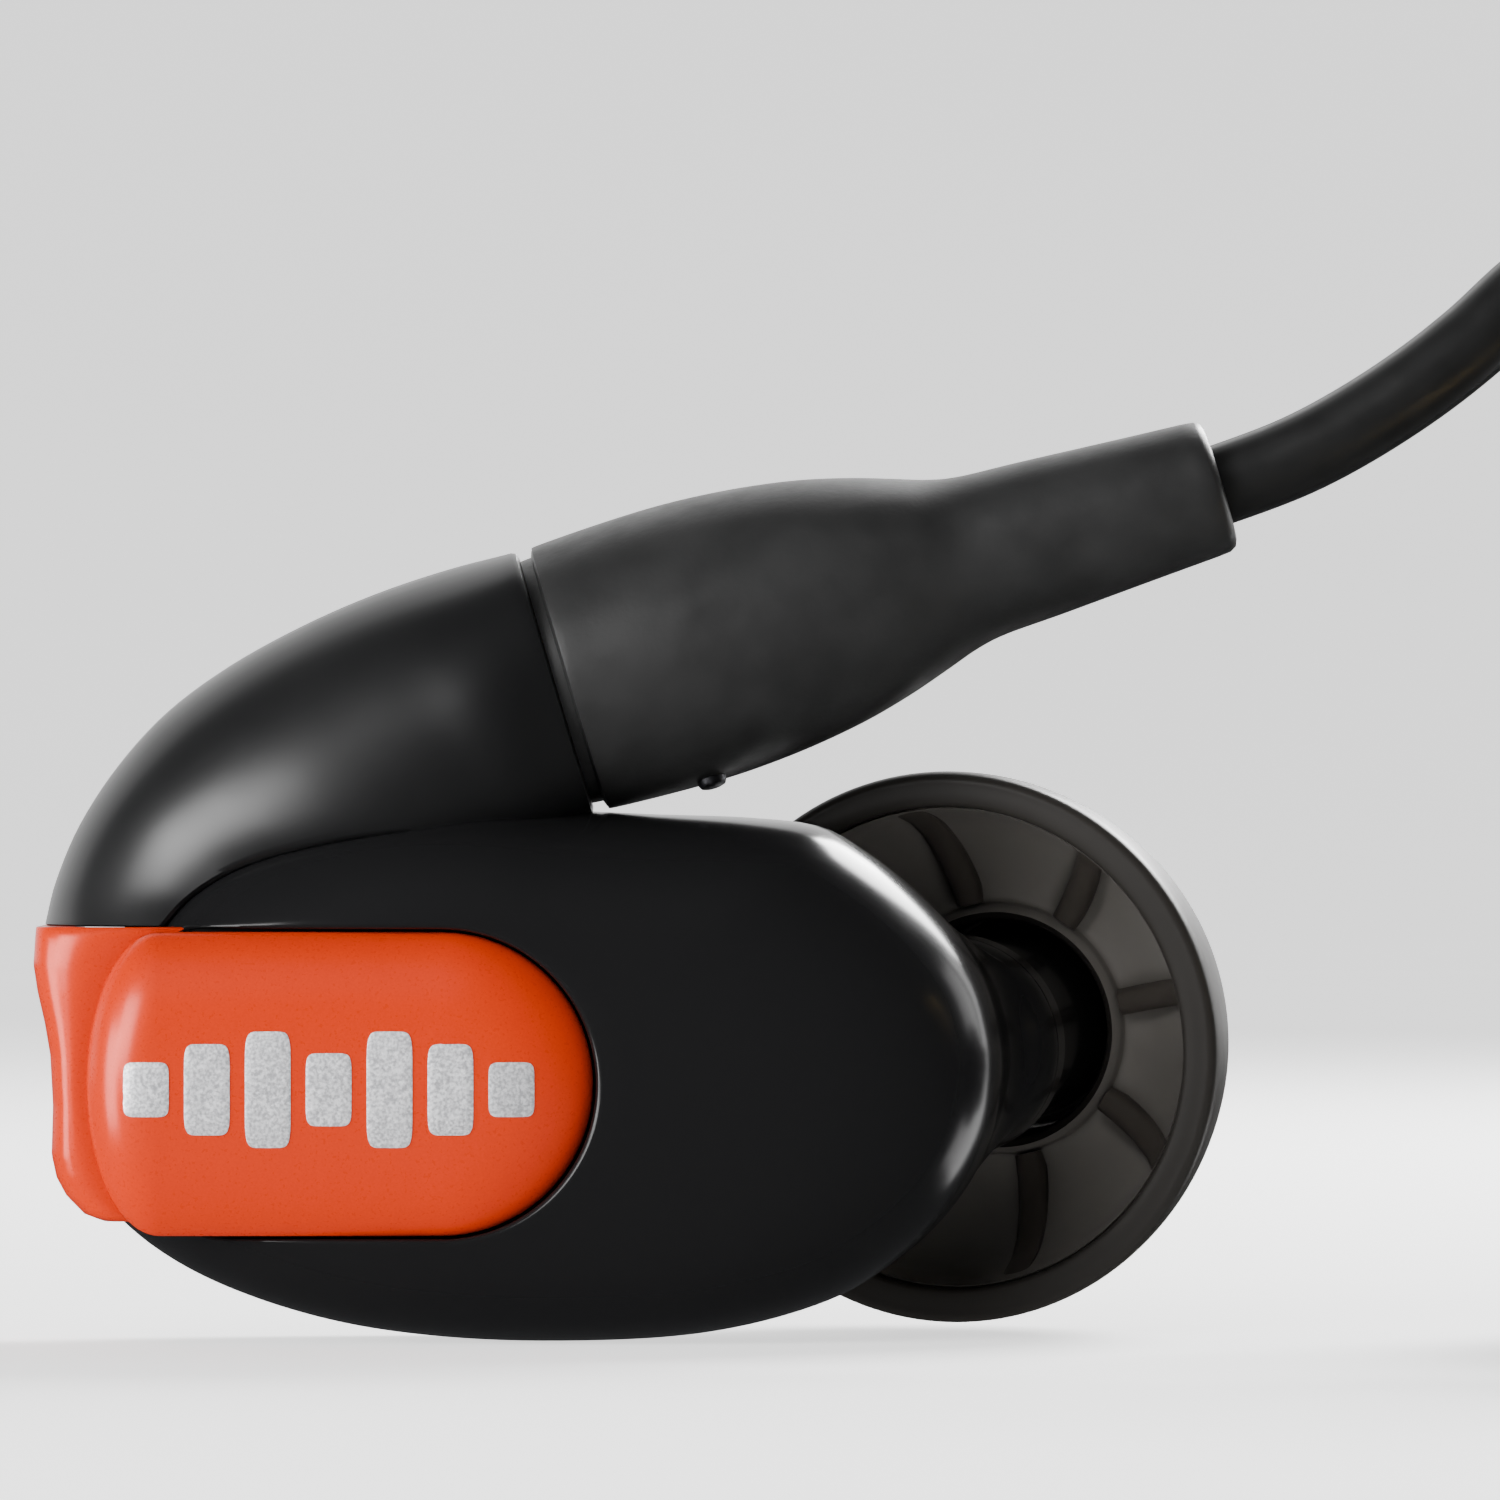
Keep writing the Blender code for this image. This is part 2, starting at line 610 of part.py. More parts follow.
CABLE_ROUTE = [
    PLUG_ORIGIN + (BOOT_LENGTH + 0.2) * PLUG_AXIS,
    Vector((14.55, 0.0, 19.62)),
    Vector((15.9, 0.0, 20.33)),
    Vector((17.3, 0.05, 21.24)),
    Vector((18.55, 0.25, 22.22)),
    Vector((19.8, 0.6, 23.36)),
    Vector((21.3, 1.35, 24.45)),
    Vector((23.1, 2.6, 25.2)),
    Vector((25.0, 4.4, 25.1)),
    Vector((26.7, 6.4, 23.9)),
    Vector((28.2, 8.3, 21.9)),
    Vector((29.6, 10.0, 19.4)),
    Vector((31.0, 11.3, 16.7)),
    Vector((32.6, 12.4, 14.2)),
    Vector((34.4, 13.1, 12.3)),
    Vector((36.4, 13.4, 11.1)),
    Vector((38.4, 13.2, ON_COIL_Z)),
]

# Over the coil's top from its inner turn, out past its edge, and back to the plug that lies on it.
TAIL_ROUTE = [
    Vector((36.6, 8.0, ON_COIL_Z)),
    Vector((39.6, 7.75, ON_COIL_Z)),
    Vector((42.6, 6.9, ON_COIL_Z)),
    Vector((46.0, 5.2, ON_COIL_Z)),
    Vector((49.5, 3.1, 10.65)),
    Vector((53.2, 1.2, 10.4)),
    Vector((57.0, 0.1, 10.15)),
    Vector((60.6, -0.7, 10.2)),
    Vector((63.1, -3.0, 10.6)),
    Vector((63.3, -6.2, 11.4)),
    Vector((61.3, -8.5, 12.3)),
    Vector((59.0, JACK_START.y, 12.75)),
    JACK_START - 0.2 * JACK_AXIS,
]


def add_cable():
    wire("cable_run", smooth_path(CABLE_ROUTE, 2), CABLE_RADIUS, "cable_black")
    middle = COIL_MIDDLE
    low, high = COIL_FLOOR, COIL_TOP
    inside, outside = COIL_INNER - CABLE_RADIUS, COIL_OUTER + CABLE_RADIUS
    round_off = 0.8
    ring = [(high, inside + round_off), (high, outside - round_off), (high - round_off, outside)]
    ring += [(low + round_off, outside), (low, outside - round_off), (low, inside + round_off)]
    ring += [(low + round_off, inside), (high - round_off, inside)]
    turned("cable_coil", ring, middle, Z_AXIS, "cable_black", 40)
    for i, degrees in enumerate(TIE_ANGLES):
        add_tie(f"coil_tie_{i + 1}", math.radians(degrees))


def add_tie(name, angle):
    """A soft strap round the coil's section."""
    outward = Vector((math.cos(angle), math.sin(angle), 0.0))
    along = Vector((-math.sin(angle), math.cos(angle), 0.0))
    middle = COIL_MIDDLE + outward * (COIL_INNER + COIL_OUTER) / 2
    reach_out = (COIL_OUTER - COIL_INNER) / 2 + CABLE_RADIUS + TIE_ROOM
    reach_in = reach_out + 0.25
    low, high = COIL_FLOOR - TIE_ROOM, COIL_TOP + TIE_ROOM
    half_way = (low + high) / 2
    inner = [(-reach_in, low), (reach_out, low), (reach_out, high), (-reach_in, high)]
    loops = []
    for grow in (TIE_THICKNESS, 0.0):
        loops.append(
            [(x + math.copysign(grow, x), z + math.copysign(grow, z - half_way)) for x, z in inner]
        )
    mesh = bmesh.new()
    rows = []
    for loop in loops:
        for side in (-TIE_WIDTH / 2, TIE_WIDTH / 2):
            base = middle + along * side
            rows.append([mesh.verts.new(point(base + outward * x + Z_AXIS * z)) for x, z in loop])
    outer_near, outer_far, inner_near, inner_far = rows
    for i in range(4):
        j = (i + 1) % 4
        mesh.faces.new((outer_near[i], outer_near[j], outer_far[j], outer_far[i]))
        mesh.faces.new((inner_near[i], inner_far[i], inner_far[j], inner_near[j]))
        mesh.faces.new((outer_near[i], inner_near[i], inner_near[j], outer_near[j]))
        mesh.faces.new((outer_far[i], outer_far[j], inner_far[j], inner_far[i]))
    bmesh.ops.recalc_face_normals(mesh, faces=mesh.faces)
    data = bpy.data.meshes.new(name)
    mesh.to_mesh(data)
    mesh.free()
    obj = bpy.data.objects.new(name, data)
    bpy.context.scene.collection.objects.link(obj)
    keep(obj, "cable_black")


def add_tail_and_jack():
    """The short end of the lead and its 3.5 mm stereo plug, lying on the coil."""
    wire("cable_tail", smooth_path(TAIL_ROUTE, 1), CABLE_RADIUS, "cable_black")
    place, axis = JACK_START, JACK_AXIS
    relief = [(7.0, 1.3), (7.0, 2.4), (6.6, 2.5), (0.3, 1.45), (0.0, 1.35), (0.0, 1.05)]
    relief += [(6.0, 1.05), (6.0, 1.3)]
    turned("jack_strain_relief", relief, place, axis, "boot_black", 24)
    housing = [(22.6, 1.95), (22.6, 2.5), (22.2, 2.95), (8.0, JACK_RADIUS), (7.25, 2.8), (7.25, 1.95)]
    turned("jack_housing", housing, place, axis, "boot_black", 28)
    tube("jack_sleeve", 14.0, 31.6, 1.75, 1.3, place, axis, "gold", 24)
    tube("jack_insulator_1", 31.7, 32.2, 1.7, 0.9, place, axis, "boot_black", 24)
    tube("jack_ring", 32.3, 33.6, 1.75, 1.1, place, axis, "gold", 24)
    tube("jack_insulator_2", 33.7, 34.1, 1.7, 0.6, place, axis, "boot_black", 24)
    tip = [(36.8, 0.0), (36.8, 0.5), (36.1, 1.25), (35.6, 1.6), (35.2, 1.15), (34.6, 1.7)]
    tip += [(34.2, 1.7), (34.2, 0.45), (15.0, 0.45), (15.0, 0.0)]
    turned("jack_tip", tip, place, axis, "gold", 24, closed=False)


def main():
    wire_hole = add_shell()
    add_arm(wire_hole)
    add_faceplate()
    add_faceplate_screw()
    add_nozzle()
    add_ear_tip()
    add_socket()
    add_plug()
    add_boot()
    add_drivers()
    add_sound_tubes()
    add_signal_wires()
    add_cable()
    add_tail_and_jack()


main()
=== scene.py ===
"""Looks of one in-ear monitor with its lead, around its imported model.

Places are in millimetres in the working frame of the design: X runs to the right along the shell,
Y runs away from the faceplate side with Y = 0 on the joint between the two shell halves, and Z is up.
point() takes them into the frame's metres.
"""

import bisect
import json
import math

import bmesh
import bpy
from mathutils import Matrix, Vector


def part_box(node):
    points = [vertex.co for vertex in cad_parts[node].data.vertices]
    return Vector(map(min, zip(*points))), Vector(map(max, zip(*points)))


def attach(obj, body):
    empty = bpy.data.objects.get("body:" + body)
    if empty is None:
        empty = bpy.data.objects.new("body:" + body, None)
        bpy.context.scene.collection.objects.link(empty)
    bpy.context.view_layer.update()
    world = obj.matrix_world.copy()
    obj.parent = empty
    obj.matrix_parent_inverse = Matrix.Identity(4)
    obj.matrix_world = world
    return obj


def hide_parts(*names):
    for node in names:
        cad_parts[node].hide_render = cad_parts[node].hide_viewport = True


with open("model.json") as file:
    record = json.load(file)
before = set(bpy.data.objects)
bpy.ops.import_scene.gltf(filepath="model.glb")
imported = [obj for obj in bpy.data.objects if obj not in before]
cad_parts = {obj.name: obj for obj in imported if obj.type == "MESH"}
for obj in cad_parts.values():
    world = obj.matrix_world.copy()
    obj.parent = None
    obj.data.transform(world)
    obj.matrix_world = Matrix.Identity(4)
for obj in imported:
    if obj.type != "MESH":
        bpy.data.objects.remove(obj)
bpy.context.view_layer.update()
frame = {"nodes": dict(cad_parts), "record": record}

MM = 0.001
X_AXIS = Vector((1.0, 0.0, 0.0))
Y_AXIS = Vector((0.0, 1.0, 0.0))
Z_AXIS = Vector((0.0, 0.0, 1.0))

# The working frame's origin, from the frame: the faceplate's left edge and crown are fixed in it.
FACEPLATE_LEFT = -13.33
FACEPLATE_CROWN = -5.2
FACEPLATE_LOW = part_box("faceplate")[0] / MM
ORIGIN = Vector((FACEPLATE_LEFT - FACEPLATE_LOW.x, FACEPLATE_CROWN - FACEPLATE_LOW.y, 0.0))


def point(place):
    return (Vector(place) - ORIGIN) * MM


# ---------------------------------------------------------------- camera, floor and light

CAMERA_DISTANCE = 300.0
VIEW_WIDTH = 33.33
VIEW_MIDDLE = Vector((2.44, 0.0, 13.1))
SENSOR = 36.0


def add_camera():
    data = bpy.data.cameras.new("camera")
    data.sensor_width = SENSOR
    data.lens = SENSOR * CAMERA_DISTANCE / VIEW_WIDTH
    data.clip_start = 0.01
    data.clip_end = 20.0
    camera = bpy.data.objects.new("camera", data)
    bpy.context.scene.collection.objects.link(camera)
    camera.location = point(VIEW_MIDDLE - CAMERA_DISTANCE * Y_AXIS)
    camera.rotation_euler = (math.radians(90), 0.0, 0.0)
    bpy.context.scene.camera = camera


add_camera()


# ---------------------------------------------------------------- mesh helpers


def link(name, data, *finishes):
    obj = bpy.data.objects.new(name, data)
    bpy.context.scene.collection.objects.link(obj)
    for finish in finishes:
        data.materials.append(finish)
    return obj


def skin(name, rings, finish, closed=False, sharp=50.0):
    """A surface through rings of equally many places. One place alone closes that end as a point."""
    mesh = bmesh.new()
    rows = [[mesh.verts.new(point(place)) for place in ring] for ring in rings]
    pairs = list(zip(rows, rows[1:]))
    if closed:
        pairs.append((rows[-1], rows[0]))
    for first, second in pairs:
        count = max(len(first), len(second))
        for i in range(count):
            j = (i + 1) % count
            if len(first) == 1:
                corners = (first[0], second[j], second[i])
            elif len(second) == 1:
                corners = (first[i], first[j], second[0])
            else:
                corners = (first[i], first[j], second[j], second[i])
            mesh.faces.new(corners)
    if not closed:
        for row in (rows[0], rows[-1]):
            if len(row) > 2:
                mesh.faces.new(row)
    bmesh.ops.recalc_face_normals(mesh, faces=mesh.faces)
    data = bpy.data.meshes.new(name)
    mesh.to_mesh(data)
    mesh.free()
    data.shade_smooth()
    data.set_sharp_from_angle(angle=math.radians(sharp))
    return link(name, data, finish)


def across_axis(axis):
    """Two directions square to an axis: sideways, and upwards."""
    side = Vector(axis).cross(Z_AXIS).normalized()
    return side, side.cross(Vector(axis)).normalized()


def circle(middle, axis, radius, count):
    side, up = across_axis(axis) if abs(Vector(axis).z) < 0.99 else (X_AXIS, Y_AXIS)
    turns = [math.tau * k / count for k in range(count)]
    return [Vector(middle) + (side * math.cos(a) + up * math.sin(a)) * radius for a in turns]


def turned(name, profile, origin, axis, finish, steps=96, closed=True, sharp=35.0):
    """Turns (distance along the axis, radius) pairs. A radius of zero closes an end."""
    axis = Vector(axis).normalized()
    rings = []
    for along, radius in profile:
        middle = Vector(origin) + axis * along
        rings.append([middle] if radius == 0 else circle(middle, axis, radius, steps))
    return skin(name, rings, finish, closed=closed, sharp=sharp)


def catmull(a, b, c, d, t):
    return 0.5 * (
        2 * b + (c - a) * t + (2 * a - 5 * b + 4 * c - d) * t**2 + (3 * b - a - 3 * c + d) * t**3
    )


def smooth_path(places, per_span, closed=False):
    """Places on a Catmull-Rom curve through the given ones."""
    knots = [Vector(place) for place in places]
    if closed:
        knots = [knots[-1], *knots, knots[0], knots[1]]
    else:
        knots = [2 * knots[0] - knots[1], *knots, 2 * knots[-1] - knots[-2]]
    found = []
    for a, b, c, d in zip(knots, knots[1:], knots[2:], knots[3:]):
        found += [catmull(a, b, c, d, step / per_span) for step in range(per_span)]
    return found if closed else [*found, knots[-2]]


def tube(name, places, radius, finish, sides=4):
    """A round cord or bead along places in the working frame, with closed ends."""
    curve = bpy.data.curves.new(name, "CURVE")
    curve.dimensions = "3D"
    curve.bevel_depth = radius * MM
    curve.bevel_resolution = sides
    curve.use_fill_caps = True
    spline = curve.splines.new("POLY")
    spline.points.add(len(places) - 1)
    for knot, place in zip(spline.points, places):
        knot.co = (*point(place), 1.0)
    spline.use_smooth = True
    return link(name, curve, finish)


# ---------------------------------------------------------------- materials


class Finish:
    """A Principled material with fine procedural texture in object space."""

    def __init__(self, name, colour, roughness, metallic=0.0):
        self.material = bpy.data.materials.new(name)
        self.material.use_nodes = True
        self.tree = self.material.node_tree
        self.shader = self.tree.nodes["Principled BSDF"]
        self.place = self.tree.nodes.new("ShaderNodeTexCoord").outputs["Object"]
        self.normal = None
        self.set("Base Color", (*colour, 1.0))
        self.set("Roughness", roughness)
        self.set("Metallic", metallic)

    def set(self, socket, value):
        self.shader.inputs[socket].default_value = value
        return self

    def noise(self, size, detail=3.0, stretch=None):
        """Noise whose grains are about size millimetres across."""
        texture = self.tree.nodes.new("ShaderNodeTexNoise")
        texture.inputs["Scale"].default_value = 1.0 / (size * MM)
        texture.inputs["Detail"].default_value = detail
        source = self.place
        if stretch:
            mapping = self.tree.nodes.new("ShaderNodeMapping")
            mapping.inputs["Scale"].default_value = stretch
            self.tree.links.new(source, mapping.inputs["Vector"])
            source = mapping.outputs["Vector"]
        self.tree.links.new(source, texture.inputs["Vector"])
        return texture.outputs["Fac"]

    def bump(self, height, strength, distance):
        """Adds a bump of distance millimetres on top of any before it."""
        node = self.tree.nodes.new("ShaderNodeBump")
        node.inputs["Strength"].default_value = strength
        node.inputs["Distance"].default_value = distance * MM
        self.tree.links.new(height, node.inputs["Height"])
        if self.normal:
            self.tree.links.new(self.normal, node.inputs["Normal"])
        self.normal = node.outputs["Normal"]
        self.tree.links.new(self.normal, self.shader.inputs["Normal"])
        return self

    def vary_roughness(self, factor, low, high):
        node = self.tree.nodes.new("ShaderNodeMapRange")
        node.inputs["From Min"].default_value = 0.35
        node.inputs["From Max"].default_value = 0.65
        node.inputs["To Min"].default_value = low
        node.inputs["To Max"].default_value = high
        self.tree.links.new(factor, node.inputs["Value"])
        self.tree.links.new(node.outputs["Result"], self.shader.inputs["Roughness"])
        return self

    def vary_colour(self, factor, low, high):
        ramp = self.tree.nodes.new("ShaderNodeValToRGB")
        ramp.color_ramp.elements[0].position = 0.36
        ramp.color_ramp.elements[0].color = (*low, 1.0)
        ramp.color_ramp.elements[1].position = 0.64
        ramp.color_ramp.elements[1].color = (*high, 1.0)
        self.tree.links.new(factor, ramp.inputs["Fac"])
        self.tree.links.new(ramp.outputs["Color"], self.shader.inputs["Base Color"])
        return self


def gloss_black(name, level, roughness, specular):
    finish = Finish(name, (level, level, level * 1.05), roughness)
    finish.set("Specular IOR Level", specular)
    finish.vary_roughness(finish.noise(4.0, 5.0), roughness * 0.92, roughness * 1.12)
    finish.bump(finish.noise(1.6, 2.0), 0.04, 0.01)
    return finish.material


def satin_black(name, level, roughness, grain, depth):
    finish = Finish(name, (level, level, level * 1.02), roughness)
    finish.set("Specular IOR Level", 0.3)
    low = (level * 0.85,) * 3
    high = (level * 1.2,) * 3
    finish.vary_colour(finish.noise(1.8, 4.0), low, high)
    finish.vary_roughness(finish.noise(0.7, 4.0), roughness * 0.9, roughness * 1.15)
    finish.bump(finish.noise(grain, 3.0), 0.35, depth)
    return finish.material


def lacquer_orange():
    """Candy lacquer over fine metal flake, under a clear coat."""
    finish = Finish("faceplate_orange", (0.52, 0.022, 0.0001), 0.30, 0.12)
    flake = finish.noise(0.05, 2.0)
    finish.vary_colour(flake, (0.44, 0.020, 0.0001), (0.48, 0.023, 0.0001))
    finish.vary_roughness(finish.noise(0.08, 2.0), 0.27, 0.34)
    finish.set("Specular IOR Level", 0.12).set("Coat Weight", 0.2).set("Coat Roughness", 0.2)
    return finish.material


def printed_silver():
    """Metallic ink with a sandy sparkle."""
    finish = Finish("mark_silver", (0.62, 0.62, 0.64), 0.42, 0.55)
    speck = finish.noise(0.07, 2.0)
    finish.vary_colour(speck, (0.42, 0.42, 0.44), (0.80, 0.80, 0.82))
    finish.vary_roughness(finish.noise(0.10, 2.0), 0.34, 0.58)
    finish.bump(speck, 0.4, 0.008)
    return finish.material


def smoke_silicone(name, colour):
    finish = Finish(name, colour, 0.42)
    finish.set("Specular IOR Level", 0.15)
    finish.vary_roughness(finish.noise(1.2, 4.0), 0.38, 0.46)
    finish.bump(finish.noise(0.25, 3.0), 0.12, 0.01)
    return finish.material


def metal(name, colour, roughness, brushed=None):
    finish = Finish(name, colour, roughness, 1.0)
    streak = finish.noise(0.12, 2.0, stretch=brushed)
    finish.vary_roughness(streak, roughness * 0.75, roughness * 1.35)
    finish.bump(streak, 0.12, 0.004)
    return finish.material


def plain(name, colour, roughness, grain=0.4):
    finish = Finish(name, colour, roughness)
    low = tuple(c * 0.85 for c in colour)
    high = tuple(min(1.0, c * 1.1) for c in colour)
    finish.vary_colour(finish.noise(grain * 3, 4.0), low, high)
    finish.bump(finish.noise(grain, 3.0), 0.2, 0.01)
    return finish.material


def woven_strap():
    finish = Finish("strap_black", (0.02, 0.02, 0.021), 0.85)
    weave = finish.tree.nodes.new("ShaderNodeTexVoronoi")
    weave.inputs["Scale"].default_value = 1.0 / (0.22 * MM)
    finish.tree.links.new(finish.place, weave.inputs["Vector"])
    finish.bump(weave.outputs["Distance"], 0.8, 0.05)
    finish.vary_colour(finish.noise(0.5, 3.0), (0.014,) * 3, (0.032,) * 3)
    finish.set("Sheen Weight", 0.08)
    return finish.material


SHELL = gloss_black("shell_black", 0.006, 0.19, 0.16)
ARM = gloss_black("arm_black", 0.005, 0.34, 0.40)
BOOT = satin_black("boot_black", 0.014, 0.42, 0.12, 0.010)
CABLE = satin_black("cable_black", 0.008, 0.34, 0.25, 0.008)
ORANGE = lacquer_orange()
SILVER = printed_silver()
SILICONE = smoke_silicone("tip_silicone", (0.016, 0.0145, 0.013))
# Painted light: a much lighter copy of the tip's smoke silicone, standing in for light shining through
# the thin bowl.
SILICONE_PAINTED_GLOW = smoke_silicone("tip_silicone_painted_glow", (0.150, 0.140, 0.128))
# Painted light: a middle-toned copy of the same silicone for the fins, dimmer than the bowl, for less
# light shining through the thicker ribs.
FIN_SILICONE_PAINTED_LIGHT = smoke_silicone("tip_fin_painted_light", (0.055, 0.048, 0.042))
DARK_STEEL = metal("dark_steel", (0.06, 0.06, 0.065), 0.45)
STEEL = metal("steel", (0.60, 0.61, 0.63), 0.26)
GOLD = metal("gold", (0.86, 0.62, 0.26), 0.20)
STRAP = woven_strap()
INSULATOR = plain("insulator", (0.62, 0.60, 0.55), 0.5)
BOARD = plain("board_green", (0.02, 0.14, 0.06), 0.45)
CLEAR_TUBE = plain("tube_clear", (0.55, 0.58, 0.60), 0.3)
RED = plain("wire_red", (0.45, 0.03, 0.02), 0.4)
BLUE = plain("wire_blue", (0.02, 0.05, 0.35), 0.4)


def finish_cad_nodes():
    """The CAD nodes that keep their own shape get a finished material by their slot."""
    by_slot = {
        "shell_black": SHELL,
        "arm_black": ARM,
        "boot_black": BOOT,
        "faceplate_orange": ORANGE,
        "tip_silicone": SILICONE,
        "cable_black": CABLE,
        "strap_black": STRAP,
        "steel": STEEL,
        "gold": GOLD,
        "insulator": INSULATOR,
        "board_green": BOARD,
        "tube_clear": CLEAR_TUBE,
        "wire_red": RED,
        "wire_blue": BLUE,
    }
    for subpart in frame["record"]["subparts"]:
        node = frame["nodes"][subpart["node"]]
        for socket in node.material_slots:
            socket.material = by_slot[subpart["material_slot"]]


finish_cad_nodes()


# ---------------------------------------------------------------- pieces and the bodies they ride on


def dress(obj, body, slot, *nodes):
    """A piece rides on its body and stands in for the CAD nodes that it refines. The slot argument is
    not used.
    """
    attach(obj, body)
    if nodes:
        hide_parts(*nodes)
    return obj


def smooth_profile(profile, per_span=5):
    """A finer (along, radius) profile on a curve through the given one."""
    places = smooth_path([(along, radius, 0.0) for along, radius in profile], per_span)
    return [(place.x, max(0.0, place.y)) for place in places]


def cubic(a, b, c, d, t):
    u = 1 - t
    return a * u**3 + b * 3 * u**2 * t + c * 3 * u * t**2 + d * t**3


def blend(a, b, t):
    return a + (b - a) * t


def between(knots, value):
    """Linear reading of (value, result) knots."""
    for (v0, r0), (v1, r1) in zip(knots, knots[1:]):
        if value <= v1:
            return blend(r0, r1, max(0.0, (value - v0) / (v1 - v0)))
    return knots[-1][1]


# ---------------------------------------------------------------- shell

COLUMNS = 240
DOME_MIDDLE = Vector((-2.4, 0.0, 5.85))
DOME_DEPTH = 4.7
DOME_POWER = 4.0
DOME_ROOT = 2.9
SEAM = 0.03
WALL = 0.9

# The joint between the two halves, from the right end anticlockwise. The arm covers its top left.
SHELL_OUTLINE = [
    (8.08, 6.0),
    (7.97, 7.1),
    (7.62, 8.15),
    (6.95, 9.15),
    (6.05, 10.05),
    (5.0, 10.85),
    (4.0, 11.4),
    (2.4, 11.6),
    (0.2, 11.68),
    (-1.6, 11.78),
    (-3.6, 12.0),
    (-5.7, 11.95),
    (-7.8, 11.5),
    (-9.8, 10.55),
    (-11.5, 9.1),
    (-12.5, 7.4),
    (-12.7, 5.6),
    (-12.3, 3.9),
    (-11.4, 2.6),
    (-9.8, 1.5),
    (-7.6, 0.66),
    (-5.2, 0.18),
    (-2.2, 0.0),
    (1.3, 0.16),
    (4.05, 0.84),
    (5.8, 1.86),
    (7.05, 3.1),
    (7.8, 4.5),
]

PAD_MIDDLE_Z = 5.78
PAD_HALF_HEIGHT = 3.33
PAD_RIGHT_X = -4.33
PAD_LEFT_X = -10.5
PAD_LEFT_REACH = 1.6
PAD_BACK_Y = -3.7
PAD_EDGE_Y = -4.15
PAD_CROWN_Y = -5.2
CHANNEL_HALF_HEIGHT = PAD_HALF_HEIGHT + 0.07
CHANNEL_MIDDLE = Vector((PAD_RIGHT_X, 0.0, PAD_MIDDLE_Z))
CHANNEL_FLOOR_Y = -3.5


def reach_from(middle, outline):
    """How far the outline lies from a place inside it, as a function of the direction's angle."""
    rays = []
    for place in smooth_path([(x, 0.0, z) for x, z in outline], 12, closed=True):
        ray = place - middle
        rays.append((math.atan2(ray.z, ray.x), ray.length))
    rays.sort()
    rays = [(rays[-1][0] - math.tau, rays[-1][1]), *rays, (rays[0][0] + math.tau, rays[0][1])]
    angles = [angle for angle, _ in rays]

    def reach(angle):
        angle = math.remainder(angle, math.tau)
        i = min(len(rays) - 2, max(0, bisect.bisect_right(angles, angle) - 1))
        (a0, r0), (a1, r1) = rays[i], rays[i + 1]
        return blend(r0, r1, (angle - a0) / (a1 - a0))

    return reach


reach_from_dome = reach_from(DOME_MIDDLE, SHELL_OUTLINE)
reach_from_channel = reach_from(CHANNEL_MIDDLE, SHELL_OUTLINE)


def direction(angle):
    return Vector((math.cos(angle), 0.0, math.sin(angle)))


def dome_depth(place, power=DOME_POWER):
    """Depth of the front dome at a place seen from the front, 0 on the outline."""
    ray = Vector((place.x - DOME_MIDDLE.x, 0.0, place.z - DOME_MIDDLE.z))
    share = min(1.0, ray.length / reach_from_dome(math.atan2(ray.z, ray.x)))
    return DOME_DEPTH * (1 - share**power) ** (1 / DOME_ROOT)


def channel_rim(angle):
    """Distance from the channel's middle to its wall, or to where its floor runs out of the dome."""
    wall = CHANNEL_HALF_HEIGHT
    if math.cos(angle) < 0:
        wall = CHANNEL_HALF_HEIGHT / max(1e-3, abs(math.sin(angle)))
    low, high = 0.0, reach_from_channel(angle)
    for _ in range(30):
        half = (low + high) / 2
        if dome_depth(CHANNEL_MIDDLE + direction(angle) * half) > -CHANNEL_FLOOR_Y:
            low = half
        else:
            high = half
    return min(wall, low)


def at_depth(place, y):
    return Vector((place.x, y, place.z))


def add_outer_shell():
    """The front half: the channel's floor and wall, its rounded rim, and the dome to the joint."""
    angles = [math.tau * i / COLUMNS for i in range(COLUMNS)]
    rims = [channel_rim(angle) for angle in angles]
    ends = [reach_from_channel(angle) for angle in angles]
    bevel = 0.14
    rows = 26
    rings = [[at_depth(CHANNEL_MIDDLE, CHANNEL_FLOOR_Y)]]
    floor = [CHANNEL_MIDDLE + direction(a) * r for a, r in zip(angles, rims)]
    rings.append([at_depth(place, CHANNEL_FLOOR_Y) for place in floor])
    for step in range(4):
        turn = math.pi / 2 * step / 4
        ring = []
        for angle, rim, end in zip(angles, rims, ends):
            reach = min(rim + bevel * (1 - math.cos(turn)), end)
            place = CHANNEL_MIDDLE + direction(angle) * reach
            y = bevel * (1 - math.sin(turn)) - dome_depth(place)
            ring.append(at_depth(place, min(CHANNEL_FLOOR_Y - 0.02, y)))
        rings.append(ring)
    for row in range(rows + 1):
        share = math.sin(math.pi / 2 * row / rows)
        ring = []
        for angle, rim, end in zip(angles, rims, ends):
            place = CHANNEL_MIDDLE + direction(angle) * blend(min(rim + bevel, end), end, share)
            ring.append(at_depth(place, min(-SEAM, -dome_depth(place))))
        rings.append(ring)
    for inset, share in ((WALL, 1.0), (WALL, 0.75), (WALL, 0.5)):
        ring = []
        for angle, end in zip(angles, ends):
            place = CHANNEL_MIDDLE + direction(angle) * (end - inset) * share
            ring.append(at_depth(place, -SEAM if share == 1.0 else -0.72 * dome_depth(place)))
        rings.append(ring)
    rings.append([at_depth(CHANNEL_MIDDLE, CHANNEL_FLOOR_Y + 0.7)])
    shell = skin("shell_front", rings, SHELL, sharp=38)
    dress(shell, "earpiece", "shell_black", "outer_shell")


TIP_ORIGIN = Vector((6.85, 3.0, 6.4))
TIP_AXIS = Vector((0.26, 0.96, 0.07)).normalized()
TIP_SIDE = (X_AXIS - TIP_AXIS * TIP_AXIS.x).normalized()
TIP_UP = TIP_SIDE.cross(TIP_AXIS)
COLLAR_RADIUS = 2.5


def collar_place(angle, along, radius):
    around = TIP_SIDE * math.cos(angle) + TIP_UP * math.sin(angle)
    return TIP_ORIGIN + TIP_AXIS * along + around * radius


